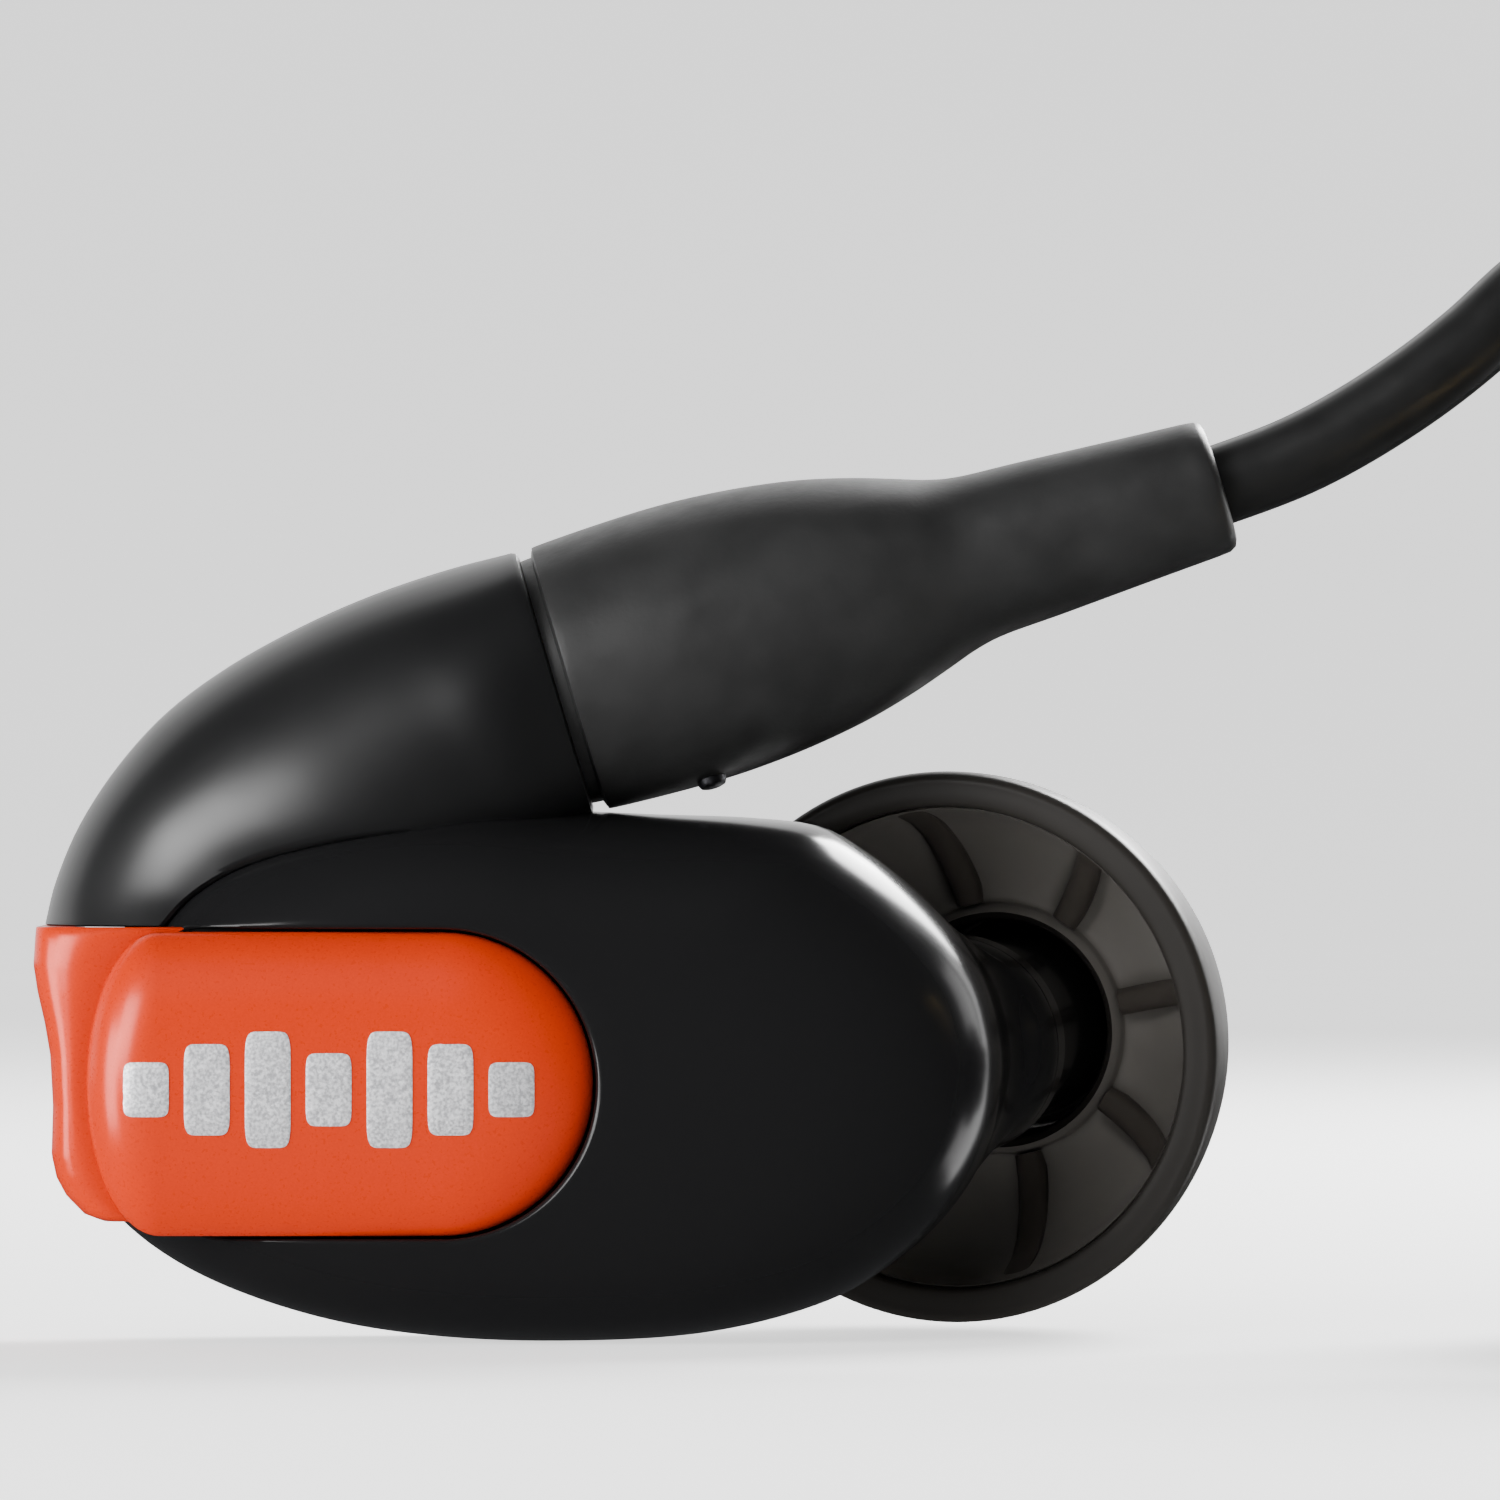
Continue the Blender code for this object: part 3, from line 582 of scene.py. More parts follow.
def add_inner_shell():
    """The half towards the ear: from the joint it swells back and draws in to the nozzle's collar."""
    angles = [math.tau * i / COLUMNS for i in range(COLUMNS)]
    edge = [DOME_MIDDLE + direction(a) * reach_from_dome(a) for a in angles]
    inside = [DOME_MIDDLE + direction(a) * (reach_from_dome(a) - WALL) for a in angles]
    rings = [[at_depth(place, 1.2) for place in inside]]
    rings.append([at_depth(place, SEAM) for place in inside])
    rows = 34
    for row in range(rows + 1):
        t = row / rows
        ring = []
        for angle, start in zip(angles, edge):
            end = collar_place(angle, 0.3, COLLAR_RADIUS)
            far = (end - start).length
            swell = at_depth(start, SEAM + 0.9 + 0.44 * far)
            draw = end - TIP_AXIS * (0.9 + 0.10 * far)
            ring.append(cubic(at_depth(start, SEAM), swell, draw, end, t))
        rings.append(ring)
    rings.append([collar_place(a, 0.3, 2.14) for a in angles])
    shell = skin("shell_back", rings, SHELL, sharp=38)
    dress(shell, "earpiece", "shell_black", "inner_shell")


# ---------------------------------------------------------------- arm

PLUG_ORIGIN = Vector((-1.87, 0.0, 14.6))
PLUG_SLOPE = math.radians(16.6)
PLUG_AXIS = Vector((math.cos(PLUG_SLOPE), 0.0, math.sin(PLUG_SLOPE)))
PLUG_UP = Vector((-math.sin(PLUG_SLOPE), 0.0, math.cos(PLUG_SLOPE)))
PLUG_RADIUS = 3.04
SOCKET_RADIUS = 1.95

# Outer edge, lower edge on the shell, half depth, how fully the lower edge stands on the dome, and
# how square the outer edge's shoulder is.
ARM_STATIONS = [
    ((-13.22, 9.24), (-10.56, 9.24), 3.35, 1.0, 0.62),
    ((-12.98, 10.2), (-10.0, 9.86), 3.42, 1.0, 0.62),
    ((-12.45, 11.45), (-9.2, 10.4), 3.5, 1.0, 0.62),
    ((-11.6, 12.75), (-8.3, 10.78), 3.54, 1.0, 0.64),
    ((-10.5, 13.95), (-7.2, 11.08), 3.54, 1.0, 0.67),
    ((-9.1, 14.98), (-6.1, 11.3), 3.5, 1.0, 0.72),
    ((-7.5, 15.86), (-4.9, 11.42), 3.44, 0.95, 0.79),
    ((-5.9, 16.56), (-3.6, 11.46), 3.38, 0.86, 0.87),
    ((-4.3, 17.1), (-2.35, 11.48), 3.32, 0.76, 0.94),
]
LEAST_SWELL = 0.62
MOST_SWELL = 0.94
ARM_FRONT = 18
ARM_TUCK = 4


def arm_section(outer, lower, depth, standing, swell):
    """Half of one section of the arm, from its outer edge over the front to the tucked-in lower edge.

    Low on the arm the section rises all the way to its lower edge. Towards the socket it rounds over.
    """
    outer = Vector((outer[0], 0.0, outer[1]))
    lower = Vector((lower[0], 0.0, lower[1]))
    down = (lower - outer).normalized()
    lip_y = -max(1.2, (dome_depth(lower) + 0.34) * standing)
    full = -depth * 1.2
    rounded = (swell - LEAST_SWELL) / (MOST_SWELL - LEAST_SWELL)
    over_y = blend(lip_y * 0.97, min(full * 1.08, lip_y * 1.1), rounded)
    places = []
    for i in range(ARM_FRONT + 1):
        t = i / ARM_FRONT
        start = at_depth(outer, 0.0)
        out = at_depth(outer + down * 0.2, full * swell)
        over = at_depth(lower - down * blend(0.7, 1.3, rounded), over_y)
        places.append(cubic(start, out, over, at_depth(lower, lip_y), t))
    places.append(at_depth(lower + down * 0.10, lip_y + 0.05))
    places.append(at_depth(lower + down * 0.15, lip_y + 0.16))
    places.append(at_depth(lower + down * 0.02, lip_y + 0.34))
    places.append(at_depth(lower - down * 0.5, lip_y * 0.5))
    return places


def socket_section(radius, along, fullness=0.0):
    """Half of a round section at the socket end, matched place by place to arm_section."""
    steps = ARM_FRONT + ARM_TUCK
    places = []
    for i in range(steps + 1):
        turn = math.pi * i / (steps + 1)
        spoke = PLUG_UP * math.cos(turn) - Y_AXIS * math.sin(turn)
        low = min(1.0, max(0.0, -math.cos(turn)) * 2) * fullness
        power = 2 + 0.3 * fullness + 0.8 * low
        square = (abs(math.cos(turn)) ** power + math.sin(turn) ** power) ** (-1 / power)
        places.append(PLUG_ORIGIN + PLUG_AXIS * along + spoke * radius * square)
    return places


def mirrored(half):
    """Closes half a section with its mirror image behind Y = 0."""
    return half + [Vector((place.x, -place.y, place.z)) for place in reversed(half[1:])]


def add_arm():
    halves = [arm_section(*station) for station in ARM_STATIONS]
    start = halves[0]
    middle = sum(start, Vector()) / len(start)
    inset = [at_depth(middle, 0) + (place - at_depth(middle, 0)) * 0.96 for place in start]
    rounded = [place - Z_AXIS * 0.035 for place in inset]
    finer = [rounded]
    halves.append(socket_section(PLUG_RADIUS, -0.14, 1.0))
    tracks = [smooth_path([half[k] for half in halves], 5) for k in range(len(start))]
    finer += [[track[i] for track in tracks] for i in range(len(tracks[0]))]
    finer.append(socket_section(PLUG_RADIUS - 0.04, -0.04, 1.0))
    finer.append(socket_section(PLUG_RADIUS - 0.14, 0.0, 1.0))
    finer.append(socket_section(SOCKET_RADIUS + 0.12, 0.0))
    finer.append(socket_section(SOCKET_RADIUS, -0.12))
    finer.append(socket_section(SOCKET_RADIUS, -2.6))
    arm = skin("arm", [mirrored(half) for half in finer], ARM, sharp=42)
    dress(arm, "earpiece", "arm_black", "connector_arm")


# ---------------------------------------------------------------- faceplate

SCREW_Y = -1.6
SCREW_Z = 6.0
FLANGE_BOTTOM_Z = 2.75
FLANGE_TOP_Z = 9.21
FLANGE_EDGE = [
    (2.72, -11.75),
    (2.9, -12.2),
    (3.3, -12.6),
    (3.7, -12.82),
    (4.2, -12.93),
    (5.3, -12.9),
    (6.4, -12.96),
    (7.1, -13.08),
    (7.8, -13.24),
    (8.4, -13.33),
    (9.15, -13.28),
]


def pad_ring(share, y, steps=40):
    """The pad's outline, drawn in towards its spine by a share of its size."""
    height = PAD_HALF_HEIGHT * (1 - share)
    left = PAD_LEFT_REACH * (1 - share)
    places = []
    for i in range(steps + 1):
        turn = -math.pi / 2 + math.pi * i / steps
        x = PAD_RIGHT_X + height * math.cos(turn)
        places.append(Vector((x, y, PAD_MIDDLE_Z + height * math.sin(turn))))
    for i in range(steps + 1):
        turn = math.pi / 2 + math.pi * i / steps
        x = PAD_LEFT_X + left * math.cos(turn)
        places.append(Vector((x, y, PAD_MIDDLE_Z + height * math.sin(turn))))
    return places


def pad_y(share):
    """Height of the pad's domed face at a share of the way in from its edge."""
    rise = (1 - (1 - share) ** 3.0) ** 0.7
    return PAD_EDGE_Y + (PAD_CROWN_Y - PAD_EDGE_Y) * rise


def pad_share(x, z):
    dz = (z - PAD_MIDDLE_Z) / PAD_HALF_HEIGHT
    dx = 0.0
    if x > PAD_RIGHT_X:
        dx = (x - PAD_RIGHT_X) / PAD_HALF_HEIGHT
    elif x < PAD_LEFT_X:
        dx = (x - PAD_LEFT_X) / PAD_LEFT_REACH
    return max(0.0, 1 - math.hypot(dx, dz))


def add_pad():
    rows = 26
    rings = [pad_ring(0.03, PAD_BACK_Y), pad_ring(0.0, PAD_BACK_Y - 0.08)]
    for row in range(rows):
        share = 1 - math.cos(math.pi / 2 * row / rows)
        rings.append(pad_ring(share, pad_y(share)))
    rings.append(pad_ring(0.999, PAD_CROWN_Y))
    pad = skin("faceplate_pad", rings, ORANGE, sharp=40)
    dress(pad, "faceplate", "faceplate_orange", "faceplate")


def flange_row(z, shrink):
    """One level section of the flange that wraps round the shell's left end."""
    left = between(FLANGE_EDGE, z)
    rise = min(1.0, abs(z - PAD_MIDDLE_Z) / PAD_HALF_HEIGHT)
    pad_edge = PAD_LEFT_X - PAD_LEFT_REACH * math.sqrt(1 - rise**2)
    thick = 0.85
    row = [(pad_edge + 0.55, -3.72), (pad_edge + 0.55, -3.82), (pad_edge + 0.1, -3.9)]
    start, bend = Vector((pad_edge, -3.92)), Vector((left + 0.02, -4.15))
    end = Vector((left, -2.9))
    for i in range(1, 11):
        t = i / 10
        row.append(tuple(start * (1 - t) ** 2 + bend * 2 * t * (1 - t) + end * t**2))
    for i in range(1, 22):
        y = blend(-2.9, 1.7, i / 21)
        near = math.hypot(y - SCREW_Y, z - SCREW_Z)
        dish = 0.34 * (1 - min(1.0, max(0.0, (near - 0.85) / 0.45)))
        row.append((left + dish, y))
    row += [(left + 0.06, 1.98), (left + 0.22, 2.15), (left + 0.5, 2.2)]
    row += [(left + thick - 0.1, 2.14), (left + thick, 1.95), (left + thick, -3.0)]
    row.append((left + thick + 0.4, -3.62))
    middle = Vector((left + thick / 2, -1.0))
    return [Vector((*(middle.lerp(Vector(place), shrink)), z)) for place in row]


def add_flange():
    rings = []
    for inward, shrink in ((0.0, 0.93), (0.05, 0.975)):
        rings.append(flange_row(FLANGE_BOTTOM_Z + inward, shrink))
    steps = 60
    for i in range(steps + 1):
        z = blend(FLANGE_BOTTOM_Z + 0.15, FLANGE_TOP_Z - 0.15, i / steps)
        rings.append(flange_row(z, 1.0))
    for inward, shrink in ((0.04, 0.99), (0.0, 0.975)):
        rings.append(flange_row(FLANGE_TOP_Z - inward, shrink))
    flange = skin("faceplate_flange", rings, ORANGE, sharp=40)
    dress(flange, "faceplate", "faceplate_orange")


BAR_LEFT = -11.25
BAR_WIDTH = 1.0
BAR_GAP = 0.33
BAR_HEIGHTS = (1.2, 2.0, 2.55, 1.6, 2.55, 2.0, 1.2)
BAR_MIDDLE_Z = PAD_MIDDLE_Z - 0.1
BAR_LIFT = 0.02


def rounded_reach(turn_part, half):
    """Place along one side of a bar for a turn's cosine or sine: a square with soft corners."""
    return half * math.copysign(abs(turn_part) ** 0.3, turn_part)


def add_level_bars():
    """A generic printed mark: a row of level bars lying on the pad's dome."""
    for index, height in enumerate(BAR_HEIGHTS):
        middle_x = BAR_LEFT + BAR_WIDTH / 2 + index * (BAR_WIDTH + BAR_GAP)
        rings = []
        for lift, grow in ((-0.05, 0.0), (BAR_LIFT, 0.0), (BAR_LIFT + 0.006, -0.02)):
            ring = []
            for i in range(48):
                turn = math.tau * i / 48
                x = middle_x + rounded_reach(math.cos(turn), BAR_WIDTH / 2 + grow)
                z = BAR_MIDDLE_Z + rounded_reach(math.sin(turn), height / 2 + grow)
                ring.append(Vector((x, pad_y(pad_share(x, z)) - lift, z)))
            rings.append(ring)
        for share in (0.66, 0.33):
            ring = []
            for place in rings[2]:
                x = middle_x + (place.x - middle_x) * share
                z = BAR_MIDDLE_Z + (place.z - BAR_MIDDLE_Z) * share
                ring.append(Vector((x, pad_y(pad_share(x, z)) - BAR_LIFT - 0.006, z)))
            rings.append(ring)
        bar = skin(f"level_bar_{index + 1}", rings, SILVER, sharp=30)
        dress(bar, "faceplate", "steel")


def hexagon(places, middle, flat):
    """Pulls a circle of places in to a hexagon of the given half width."""
    found = []
    for i, place in enumerate(places):
        turn = math.remainder(math.tau * i / len(places), math.tau / 6)
        found.append(middle + (place - middle).normalized() * flat / math.cos(turn))
    return found


def add_screw():
    head = [(-12.5, 0.36), (-12.5, 0.8), (-12.56, 0.86), (-12.8, 0.86), (-12.9, 0.8), (-12.95, 0.66)]
    rings = [[Vector((-10.8, SCREW_Y, SCREW_Z))]]
    thread = [(-10.8, 0.2), (-10.95, 0.3)]
    for i in range(9):
        x = -11.0 - 0.15 * i
        thread += [(x, 0.31), (x - 0.075, 0.37)]
    seat = Vector((0.0, SCREW_Y, SCREW_Z))
    for x, radius in thread + head:
        rings.append(circle(seat + X_AXIS * x, X_AXIS, radius, 48))
    for x, flat in ((-12.95, 0.36), (-12.9, 0.33), (-12.66, 0.33)):
        middle = seat + X_AXIS * x
        rings.append(hexagon(circle(middle, X_AXIS, 0.3, 48), middle, flat))
    rings.append([seat - X_AXIS * 12.6])
    screw = skin("fixing_screw", rings, STEEL, sharp=30)
    dress(screw, "screw", "steel", "faceplate_screw")


# ---------------------------------------------------------------- nozzle and ear tip

TIP_LENGTH = 8.8
STEM_RADIUS = 2.45
FINS = 8


def add_nozzle():
    tube_profile = [(7.7, 1.72), (7.72, 1.86), (7.6, 1.98), (7.35, 2.12), (7.1, 2.24), (6.95, 2.25)]
    tube_profile += [(6.8, 2.2), (6.65, 2.1), (-0.6, 2.1), (-0.6, 1.7)]
    nozzle = turned("nozzle", tube_profile, TIP_ORIGIN, TIP_AXIS, SHELL)
    dress(nozzle, "earpiece", "shell_black", "nozzle_tube")
    collar_profile = [(0.36, 2.16), (0.36, 2.42), (0.42, 2.49), (1.02, 2.49), (1.08, 2.43), (1.1, 2.16)]
    collar = turned("collar", collar_profile, TIP_ORIGIN, TIP_AXIS, SHELL)
    dress(collar, "earpiece", "shell_black", "nozzle_collar")


def add_ear_tip():
    """A single soft flange, open towards the shell, with thin fins round its stem."""
    outside = [(TIP_LENGTH, 1.8), (TIP_LENGTH - 0.04, 2.2), (8.5, 2.75), (7.9, 3.38), (7.0, 4.05)]
    outside += [(5.8, 4.75), (4.4, 5.36), (3.0, 5.8), (1.6, 6.08), (0.7, 6.19), (0.2, 6.2), (0.02, 6.08)]
    inside = [(0.0, 5.9), (0.0, 5.6), (0.06, 5.46), (0.3, 5.42), (1.8, 5.3), (3.2, 4.95)]
    inside += [(4.3, 4.35), (4.95, 3.75), (5.2, 3.3), (5.2, 2.95), (4.9, 2.82)]
    bore = [(4.75, 2.72), (4.8, 2.56), (5.1, 2.47), (6.4, 2.46), (8.0, STEM_RADIUS), (8.1, 1.78)]
    profile = smooth_profile(outside + inside, 4) + bore
    tip = turned("soft_tip", profile, TIP_ORIGIN, TIP_AXIS, SILICONE, steps=144, sharp=60)
    dress(tip, "ear_tip", "tip_silicone", "ear_tip")
    # A thin sheet laid over the inside of the bowl in the lighter silicone: painted light shining
    # through the bowl.
    bowl = [(0.34, 5.41), (1.8, 5.29), (3.2, 4.94), (4.3, 4.33), (4.94, 3.74)]
    bowl += [(5.19, 3.29), (5.19, 2.95), (4.89, 2.82), (4.74, 2.72)]
    fine = smooth_profile(bowl, 5)
    glow_sheet_profile = fine + [(along - 0.05, radius - 0.03) for along, radius in reversed(fine)]
    glow_sheet = turned("tip_painted_glow_sheet", glow_sheet_profile, TIP_ORIGIN, TIP_AXIS, SILICONE_PAINTED_GLOW, steps=144, sharp=60)
    dress(glow_sheet, "ear_tip", "tip_silicone")
    # The fins take the middle-toned silicone: painted light, dimmer through the thicker ribs than
    # through the bowl.
    root = [(4.95, 2.9), (5.15, 3.3), (4.95, 3.72), (4.3, 4.34), (3.2, 4.95), (2.3, 5.2), (1.0, 5.38)]
    edge = [(1.3, 5.3), (2.35, 5.05), (3.2, 4.68), (4.0, 4.05), (4.5, 3.4), (4.7, 2.9)]
    for index in range(FINS):
        turn = math.tau * (index + 0.3) / FINS
        along = -TIP_SIDE * math.sin(turn) + TIP_UP * math.cos(turn)
        rings = []
        for side, inset in ((-0.3, 0.14), (-0.16, 0.0), (0.16, 0.0), (0.3, 0.14)):
            ring = [collar_place(turn, s, r) + along * side for s, r in root]
            ring += [collar_place(turn, s + inset, r) + along * side for s, r in edge]
            rings.append(ring)
        fin = skin(f"tip_fin_{index + 1}", rings, FIN_SILICONE_PAINTED_LIGHT, sharp=60)
        dress(fin, "ear_tip", "tip_silicone")


# ---------------------------------------------------------------- boot on the plug

BOOT_LENGTH = 15.4


def add_boot():
    outside = [(0.27, 2.86), (0.33, 2.98), (0.5, 3.04), (2.0, 3.11), (3.3, 3.12), (4.5, 3.05)]
    outside += [(5.6, 2.92), (6.6, 2.74), (7.6, 2.48), (8.5, 2.19), (9.2, 1.96), (9.9, 1.83)]
    outside += [(11.2, 1.76), (13.4, 1.62), (14.9, 1.53)]
    end = [(15.2, 1.5), (15.34, 1.42), (15.4, 1.28), (15.4, 1.1), (15.3, 1.02), (14.6, 1.0)]
    back = [(4.0, 1.0), (4.0, 2.5), (0.012, 2.5), (0.012, 2.8), (0.26, 2.82)]
    profile = smooth_profile(outside, 5) + end + back
    boot = turned("boot", profile, PLUG_ORIGIN, PLUG_AXIS, BOOT, steps=128, sharp=38)
    dress(boot, "plug", "boot_black", "plug_boot")
    lean = math.radians(12)
    outward = (-PLUG_UP * math.cos(lean) - Y_AXIS * math.sin(lean)).normalized()
    seat = PLUG_ORIGIN + 2.7 * PLUG_AXIS
    dot = [(2.65, 0.0), (2.65, 0.32), (3.2, 0.32), (3.27, 0.28), (3.3, 0.2), (3.31, 0.0)]
    marker = turned("side_dot", dot, seat, outward, DARK_STEEL, steps=32, closed=False)
    dress(marker, "plug", "steel", "side_marker")


# ---------------------------------------------------------------- plug on the far end

JACK_AXIS = -X_AXIS


def add_jack(origin):
    """The 3.5 mm plug: a slotted relief, a ringed grip, and the contact pin's three bands."""
    pieces = []

    def add(name, profile, finish, slot, node, sharp=30.0):
        piece = turned(name, profile, origin, JACK_AXIS, finish, steps=72, sharp=sharp)
        pieces.append(dress(piece, "plug", slot, node))

    relief = [(7.0, 1.3), (7.0, 2.38), (6.9, 2.46), (6.5, 2.5)]
    for i in range(5):
        s = 5.8 - 1.1 * i
        radius = 2.36 - 0.19 * i
        relief += [(s + 0.32, radius), (s + 0.28, radius - 0.3)]
        relief += [(s - 0.1, radius - 0.34), (s - 0.16, radius - 0.08)]
    relief += [(0.3, 1.42), (0.08, 1.36), (0.0, 1.24), (0.0, 1.0), (6.0, 1.0), (6.0, 1.3)]
    add("plug_relief", relief, BOOT, "boot_black", "jack_strain_relief")
    grip = [(22.6, 1.9), (22.6, 2.5), (22.48, 2.74), (22.2, 2.93), (21.6, 2.97)]
    for i in range(7):
        s = 20.6 - 1.5 * i
        grip += [(s + 0.5, 3.03), (s + 0.34, 3.0), (s + 0.26, 2.84)]
        grip += [(s - 0.2, 2.84), (s - 0.28, 3.0), (s - 0.42, 3.04)]
    grip += [(8.2, 3.04), (7.7, 2.98), (7.36, 2.84), (7.25, 2.66), (7.25, 1.9)]
    add("plug_grip", grip, BOOT, "boot_black", "jack_housing")
    sleeve = [(31.6, 1.3), (31.6, 1.68), (31.53, 1.75), (22.9, 1.75)]
    sleeve += [(22.8, 1.86), (22.66, 1.86), (14.0, 1.7), (14.0, 1.3)]
    add("plug_sleeve", sleeve, GOLD, "gold", "jack_sleeve")
    band = [(33.6, 1.1), (33.6, 1.69), (33.54, 1.75), (32.36, 1.75), (32.3, 1.69), (32.3, 1.1)]
    add("plug_band", band, GOLD, "gold", "jack_ring")
    for name, node, low, high, bore in (
        ("plug_spacer_1", "jack_insulator_1", 31.7, 32.2, 0.9),
        ("plug_spacer_2", "jack_insulator_2", 33.7, 34.1, 0.6),
    ):
        spacer = [(high, bore), (high, 1.68), (high - 0.05, 1.7)]
        spacer += [(low + 0.05, 1.7), (low, 1.68), (low, bore)]
        add(name, spacer, BOOT, "boot_black", node)
    nose = [(36.8, 0.01), (36.79, 0.3), (36.7, 0.55), (36.4, 0.95), (36.05, 1.3)]
    nose += [(35.75, 1.54), (35.6, 1.6), (35.45, 1.5), (35.25, 1.22), (35.1, 1.17)]
    nose += [(34.9, 1.3), (34.62, 1.64), (34.5, 1.7), (34.2, 1.7)]
    nose += [(34.2, 0.45), (15.0, 0.45), (15.0, 0.01)]
    add("plug_nose", nose, GOLD, "gold", "jack_tip")
    return pieces


# ---------------------------------------------------------------- lead

CABLE_RADIUS = 0.9
CABLE_PITCH = 2 * CABLE_RADIUS
COIL_MIDDLE = Vector((36.0, 0.0, 0.0))
COIL_FLOOR = 0.6
COIL_COLUMNS = 4
COIL_LAYERS = 5
COIL_INNER = 8.0
COIL_OUTER = COIL_INNER + (COIL_COLUMNS - 1) * CABLE_PITCH
COIL_TOP = COIL_FLOOR + COIL_LAYERS * CABLE_PITCH
ON_COIL_Z = COIL_TOP + CABLE_RADIUS + 0.18
COIL_START_TURN = 35 / 360
COIL_END_TURN = 130 / 360
COIL_POINTS_PER_TURN = 40
TIE_ANGLES = (170, 350)
TIE_WIDTH = 3.0
TIE_THICKNESS = 0.45
TIE_ROOM = 0.12
JACK_RADIUS = 3.05
JACK_START = Vector((COIL_MIDDLE.x + 21.5, -9.0, COIL_TOP + 0.15 + JACK_RADIUS))

RUN = [
    PLUG_ORIGIN + (BOOT_LENGTH - 0.7) * PLUG_AXIS,
    PLUG_ORIGIN + (BOOT_LENGTH + 0.2) * PLUG_AXIS,
    Vector((14.55, 0.0, 19.62)),
    Vector((15.9, 0.0, 20.33)),
    Vector((17.3, 0.05, 21.24)),
    Vector((18.55, 0.25, 22.22)),
    Vector((19.8, 0.6, 23.36)),
    Vector((21.3, 1.35, 24.45)),
    Vector((23.1, 2.6, 25.2)),
    Vector((25.0, 4.4, 25.1)),
    Vector((26.7, 6.4, 23.9)),
    Vector((28.2, 8.3, 21.9)),
    Vector((29.6, 10.0, 19.4)),
    Vector((31.0, 11.3, 16.7)),
    Vector((32.6, 12.4, 14.2)),
    Vector((34.4, 13.1, 12.3)),
    Vector((36.4, 13.4, 11.1)),
    Vector((38.4, 13.18, 10.35)),
    Vector((40.58, 12.59, 9.85)),
    Vector((42.7, 11.6, 9.42)),
    Vector((44.61, 10.26, 9.1)),
    Vector((46.26, 8.61, 8.88)),
    Vector((47.6, 6.7, 8.75)),
]

# Over the coil's top from its inner turn, out past its edge, and back to the plug that lies on it.
TAIL = [
    Vector((36.6, 8.0, ON_COIL_Z)),
    Vector((39.6, 7.75, ON_COIL_Z)),
    Vector((42.6, 6.9, ON_COIL_Z)),
    Vector((46.0, 5.2, ON_COIL_Z)),
    Vector((49.5, 3.1, 10.65)),
    Vector((53.2, 1.2, 10.4)),
    Vector((57.0, 0.1, 10.15)),
    Vector((60.6, -0.7, 10.2)),
    Vector((63.1, -3.0, 10.6)),
    Vector((63.3, -6.2, 11.4)),
    Vector((61.3, -8.5, 12.3)),
    Vector((59.0, JACK_START.y, 12.75)),
    JACK_START - 0.2 * JACK_AXIS,
    JACK_START + 1.0 * JACK_AXIS,
]


def coil_places():
    """Turns wound clockwise in upright columns, down and up by turns, from the outside in."""
    climb = (COIL_LAYERS - 1) * CABLE_PITCH
    turns_per_column = COIL_LAYERS - 1
    straight = COIL_COLUMNS * turns_per_column
    whole = round(straight + 1) + COIL_START_TURN - COIL_END_TURN
    step_turn = (whole - straight) / (COIL_COLUMNS - 1)
    top = COIL_FLOOR + CABLE_RADIUS + climb
    low = COIL_FLOOR + CABLE_RADIUS
    stages = []
    for column in range(COIL_COLUMNS):
        radius = COIL_OUTER - column * CABLE_PITCH
        start, end = (top, low) if column % 2 == 0 else (low, top)
        stages.append((turns_per_column, radius, radius, start, end))
        if column < COIL_COLUMNS - 1:
            stages.append((step_turn, radius, radius - CABLE_PITCH, end, end))
    found = []
    turn = COIL_START_TURN
    for turns, r0, r1, z0, z1 in stages:
        steps = max(6, round(turns * COIL_POINTS_PER_TURN))
        for i in range(steps):
            t = i / steps
            angle = math.tau * (turn - turns * t)
            radius = blend(r0, r1, t * t * (3 - 2 * t))
            found.append(COIL_MIDDLE + direction_level(angle) * radius + Z_AXIS * blend(z0, z1, t))
        turn -= turns
    found.append(COIL_MIDDLE + direction_level(math.tau * turn) * COIL_INNER + Z_AXIS * top)
    return found


def direction_level(angle):
    return Vector((math.cos(angle), math.sin(angle), 0.0))


def add_tie(name, node, degrees):
    """A woven strap drawn round the coil's section."""
    angle = math.radians(degrees)
    outward = direction_level(angle)
    along = Vector((-outward.y, outward.x, 0.0))
    middle = COIL_MIDDLE + outward * (COIL_INNER + COIL_OUTER) / 2
    middle.z = (COIL_FLOOR + COIL_TOP) / 2
    half_wide = (COIL_OUTER - COIL_INNER) / 2 + CABLE_RADIUS + TIE_ROOM
    half_high = (COIL_TOP - COIL_FLOOR) / 2 + TIE_ROOM
    rings = []
    for i in range(64):
        turn = math.tau * i / 64
        flat = direction(turn)
        grow = 1 / (abs(flat.x) ** 8 + abs(flat.z) ** 8) ** (1 / 8)
        inner = outward * flat.x * grow * half_wide + Z_AXIS * flat.z * grow * half_high
        lift = (outward * flat.x + Z_AXIS * flat.z).normalized() * TIE_THICKNESS
        half = TIE_WIDTH / 2
        section = [(-half, 0.1), (-half + 0.12, 0.0), (half - 0.12, 0.0), (half, 0.1)]
        section += [(half, 0.8), (half - 0.15, 1.0), (-half + 0.15, 1.0), (-half, 0.8)]
        rings.append([middle + inner + lift * rise + along * side for side, rise in section])
    tie = skin(name, rings, STRAP, closed=True, sharp=40)
    return dress(tie, "plug", "strap_black", node)


def add_lead():
    coil = coil_places()
    run = smooth_path([*RUN, coil[2]], 6)[: 6 * len(RUN)]
    places = run + coil[2:-2] + smooth_path([coil[-3], coil[-2], *TAIL], 6)[6:]
    lead = tube("lead", places, CABLE_RADIUS, CABLE)
    dress(lead, "plug", "cable_black", "cable_run", "cable_coil", "cable_tail")


# ---------------------------------------------------------------- studio


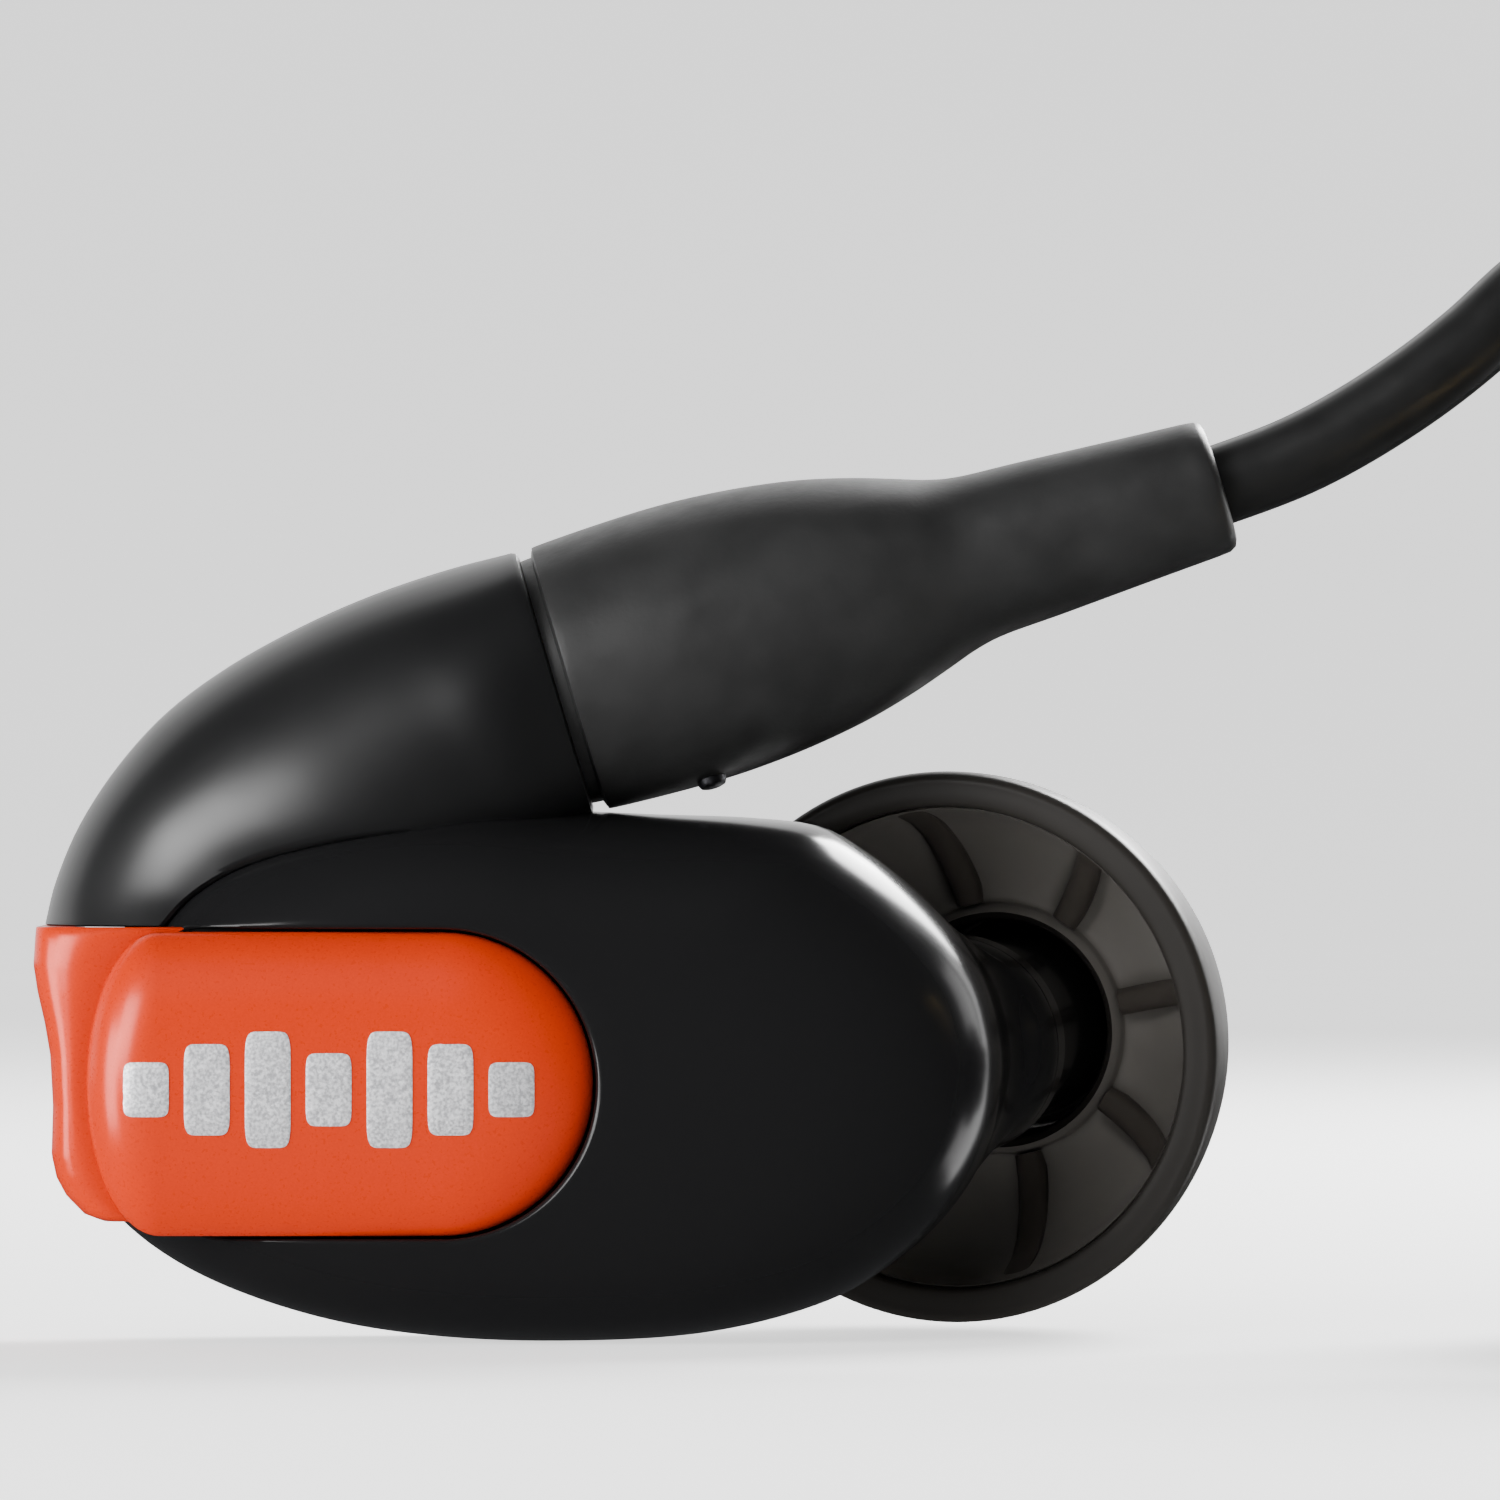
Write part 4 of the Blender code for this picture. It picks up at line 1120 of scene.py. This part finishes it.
def add_stage_sheet(name, profile, mirrored_in_gloss):
    """One wide sheet of the pale studio paper, swept along X."""
    finish = Finish(name, (0.5, 0.5, 0.5), 0.8)
    finish.vary_roughness(finish.noise(40.0, 3.0), 0.75, 0.85)
    finish.set("Emission Color", (1.0, 1.0, 1.0, 1.0)).set("Emission Strength", 1.25)
    mesh = bmesh.new()
    rows = [[mesh.verts.new(point((x, y, z))) for x in (-2500.0, 2500.0)] for y, z in profile]
    for first, second in zip(rows, rows[1:]):
        mesh.faces.new((first[0], first[1], second[1], second[0]))
    data = bpy.data.meshes.new(name)
    mesh.to_mesh(data)
    mesh.free()
    data.shade_smooth()
    sheet = link(name, data, finish.material)
    sheet.visible_glossy = mirrored_in_gloss


def add_stage():
    """A pale floor that sweeps up into a pale wall far behind."""
    sweep = [(500.0, 0.0)]
    for i in range(1, 17):
        turn = math.pi / 2 * i / 16
        sweep.append((500 + 500 * math.sin(turn), 500 - 500 * math.cos(turn)))
    sweep.append((1000.0, 2500.0))
    add_stage_sheet("backdrop_floor", [(-1500.0, 0.0), (500.0, 0.0)], False)
    add_stage_sheet("backdrop_wall", sweep, True)


def add_soft_light(name, place, target, size, power, shines=True):
    data = bpy.data.lights.new(name, "AREA")
    data.shape = "RECTANGLE"
    data.size = size[0] * MM
    data.size_y = size[1] * MM
    data.energy = power
    light = bpy.data.objects.new(name, data)
    bpy.context.scene.collection.objects.link(light)
    light.location = point(place)
    aim = Vector(target) - Vector(place)
    light.rotation_euler = aim.to_track_quat("-Z", "Y").to_euler()
    light.visible_glossy = shines
    return light


def add_world():
    world = bpy.data.worlds.new("studio")
    bpy.context.scene.world = world
    world.use_nodes = True
    shade = world.node_tree.nodes["Background"]
    shade.inputs["Color"].default_value = (0.95, 0.97, 1.0, 1.0)
    shade.inputs["Strength"].default_value = 0.06


add_outer_shell()
add_inner_shell()
add_arm()
add_pad()
add_flange()
add_level_bars()
add_screw()
add_nozzle()
add_ear_tip()
add_boot()
on_lead = add_jack(JACK_START)
for number, degrees in enumerate(TIE_ANGLES):
    on_lead.append(add_tie(f"strap_{number + 1}", f"coil_tie_{number + 1}", degrees))
add_lead()
add_stage()
add_world()
add_soft_light("fill", (-60, -250, 220), (0, 0, 8), (200, 200), 0.55, shines=False)
add_soft_light("left_front", (-230, -240, 90), (-8, 0, 10), (150, 150), 1.5)
add_soft_light("left_side", (-260, -110, 10), (-8, 0, 12), (130, 130), 1.2)
add_soft_light("right_rim", (110, 170, 140), (4, 0, 8), (110, 110), 2.2)
add_soft_light("right_low", (250, 110, 10), (4, 0, 8), (150, 300), 0.8)
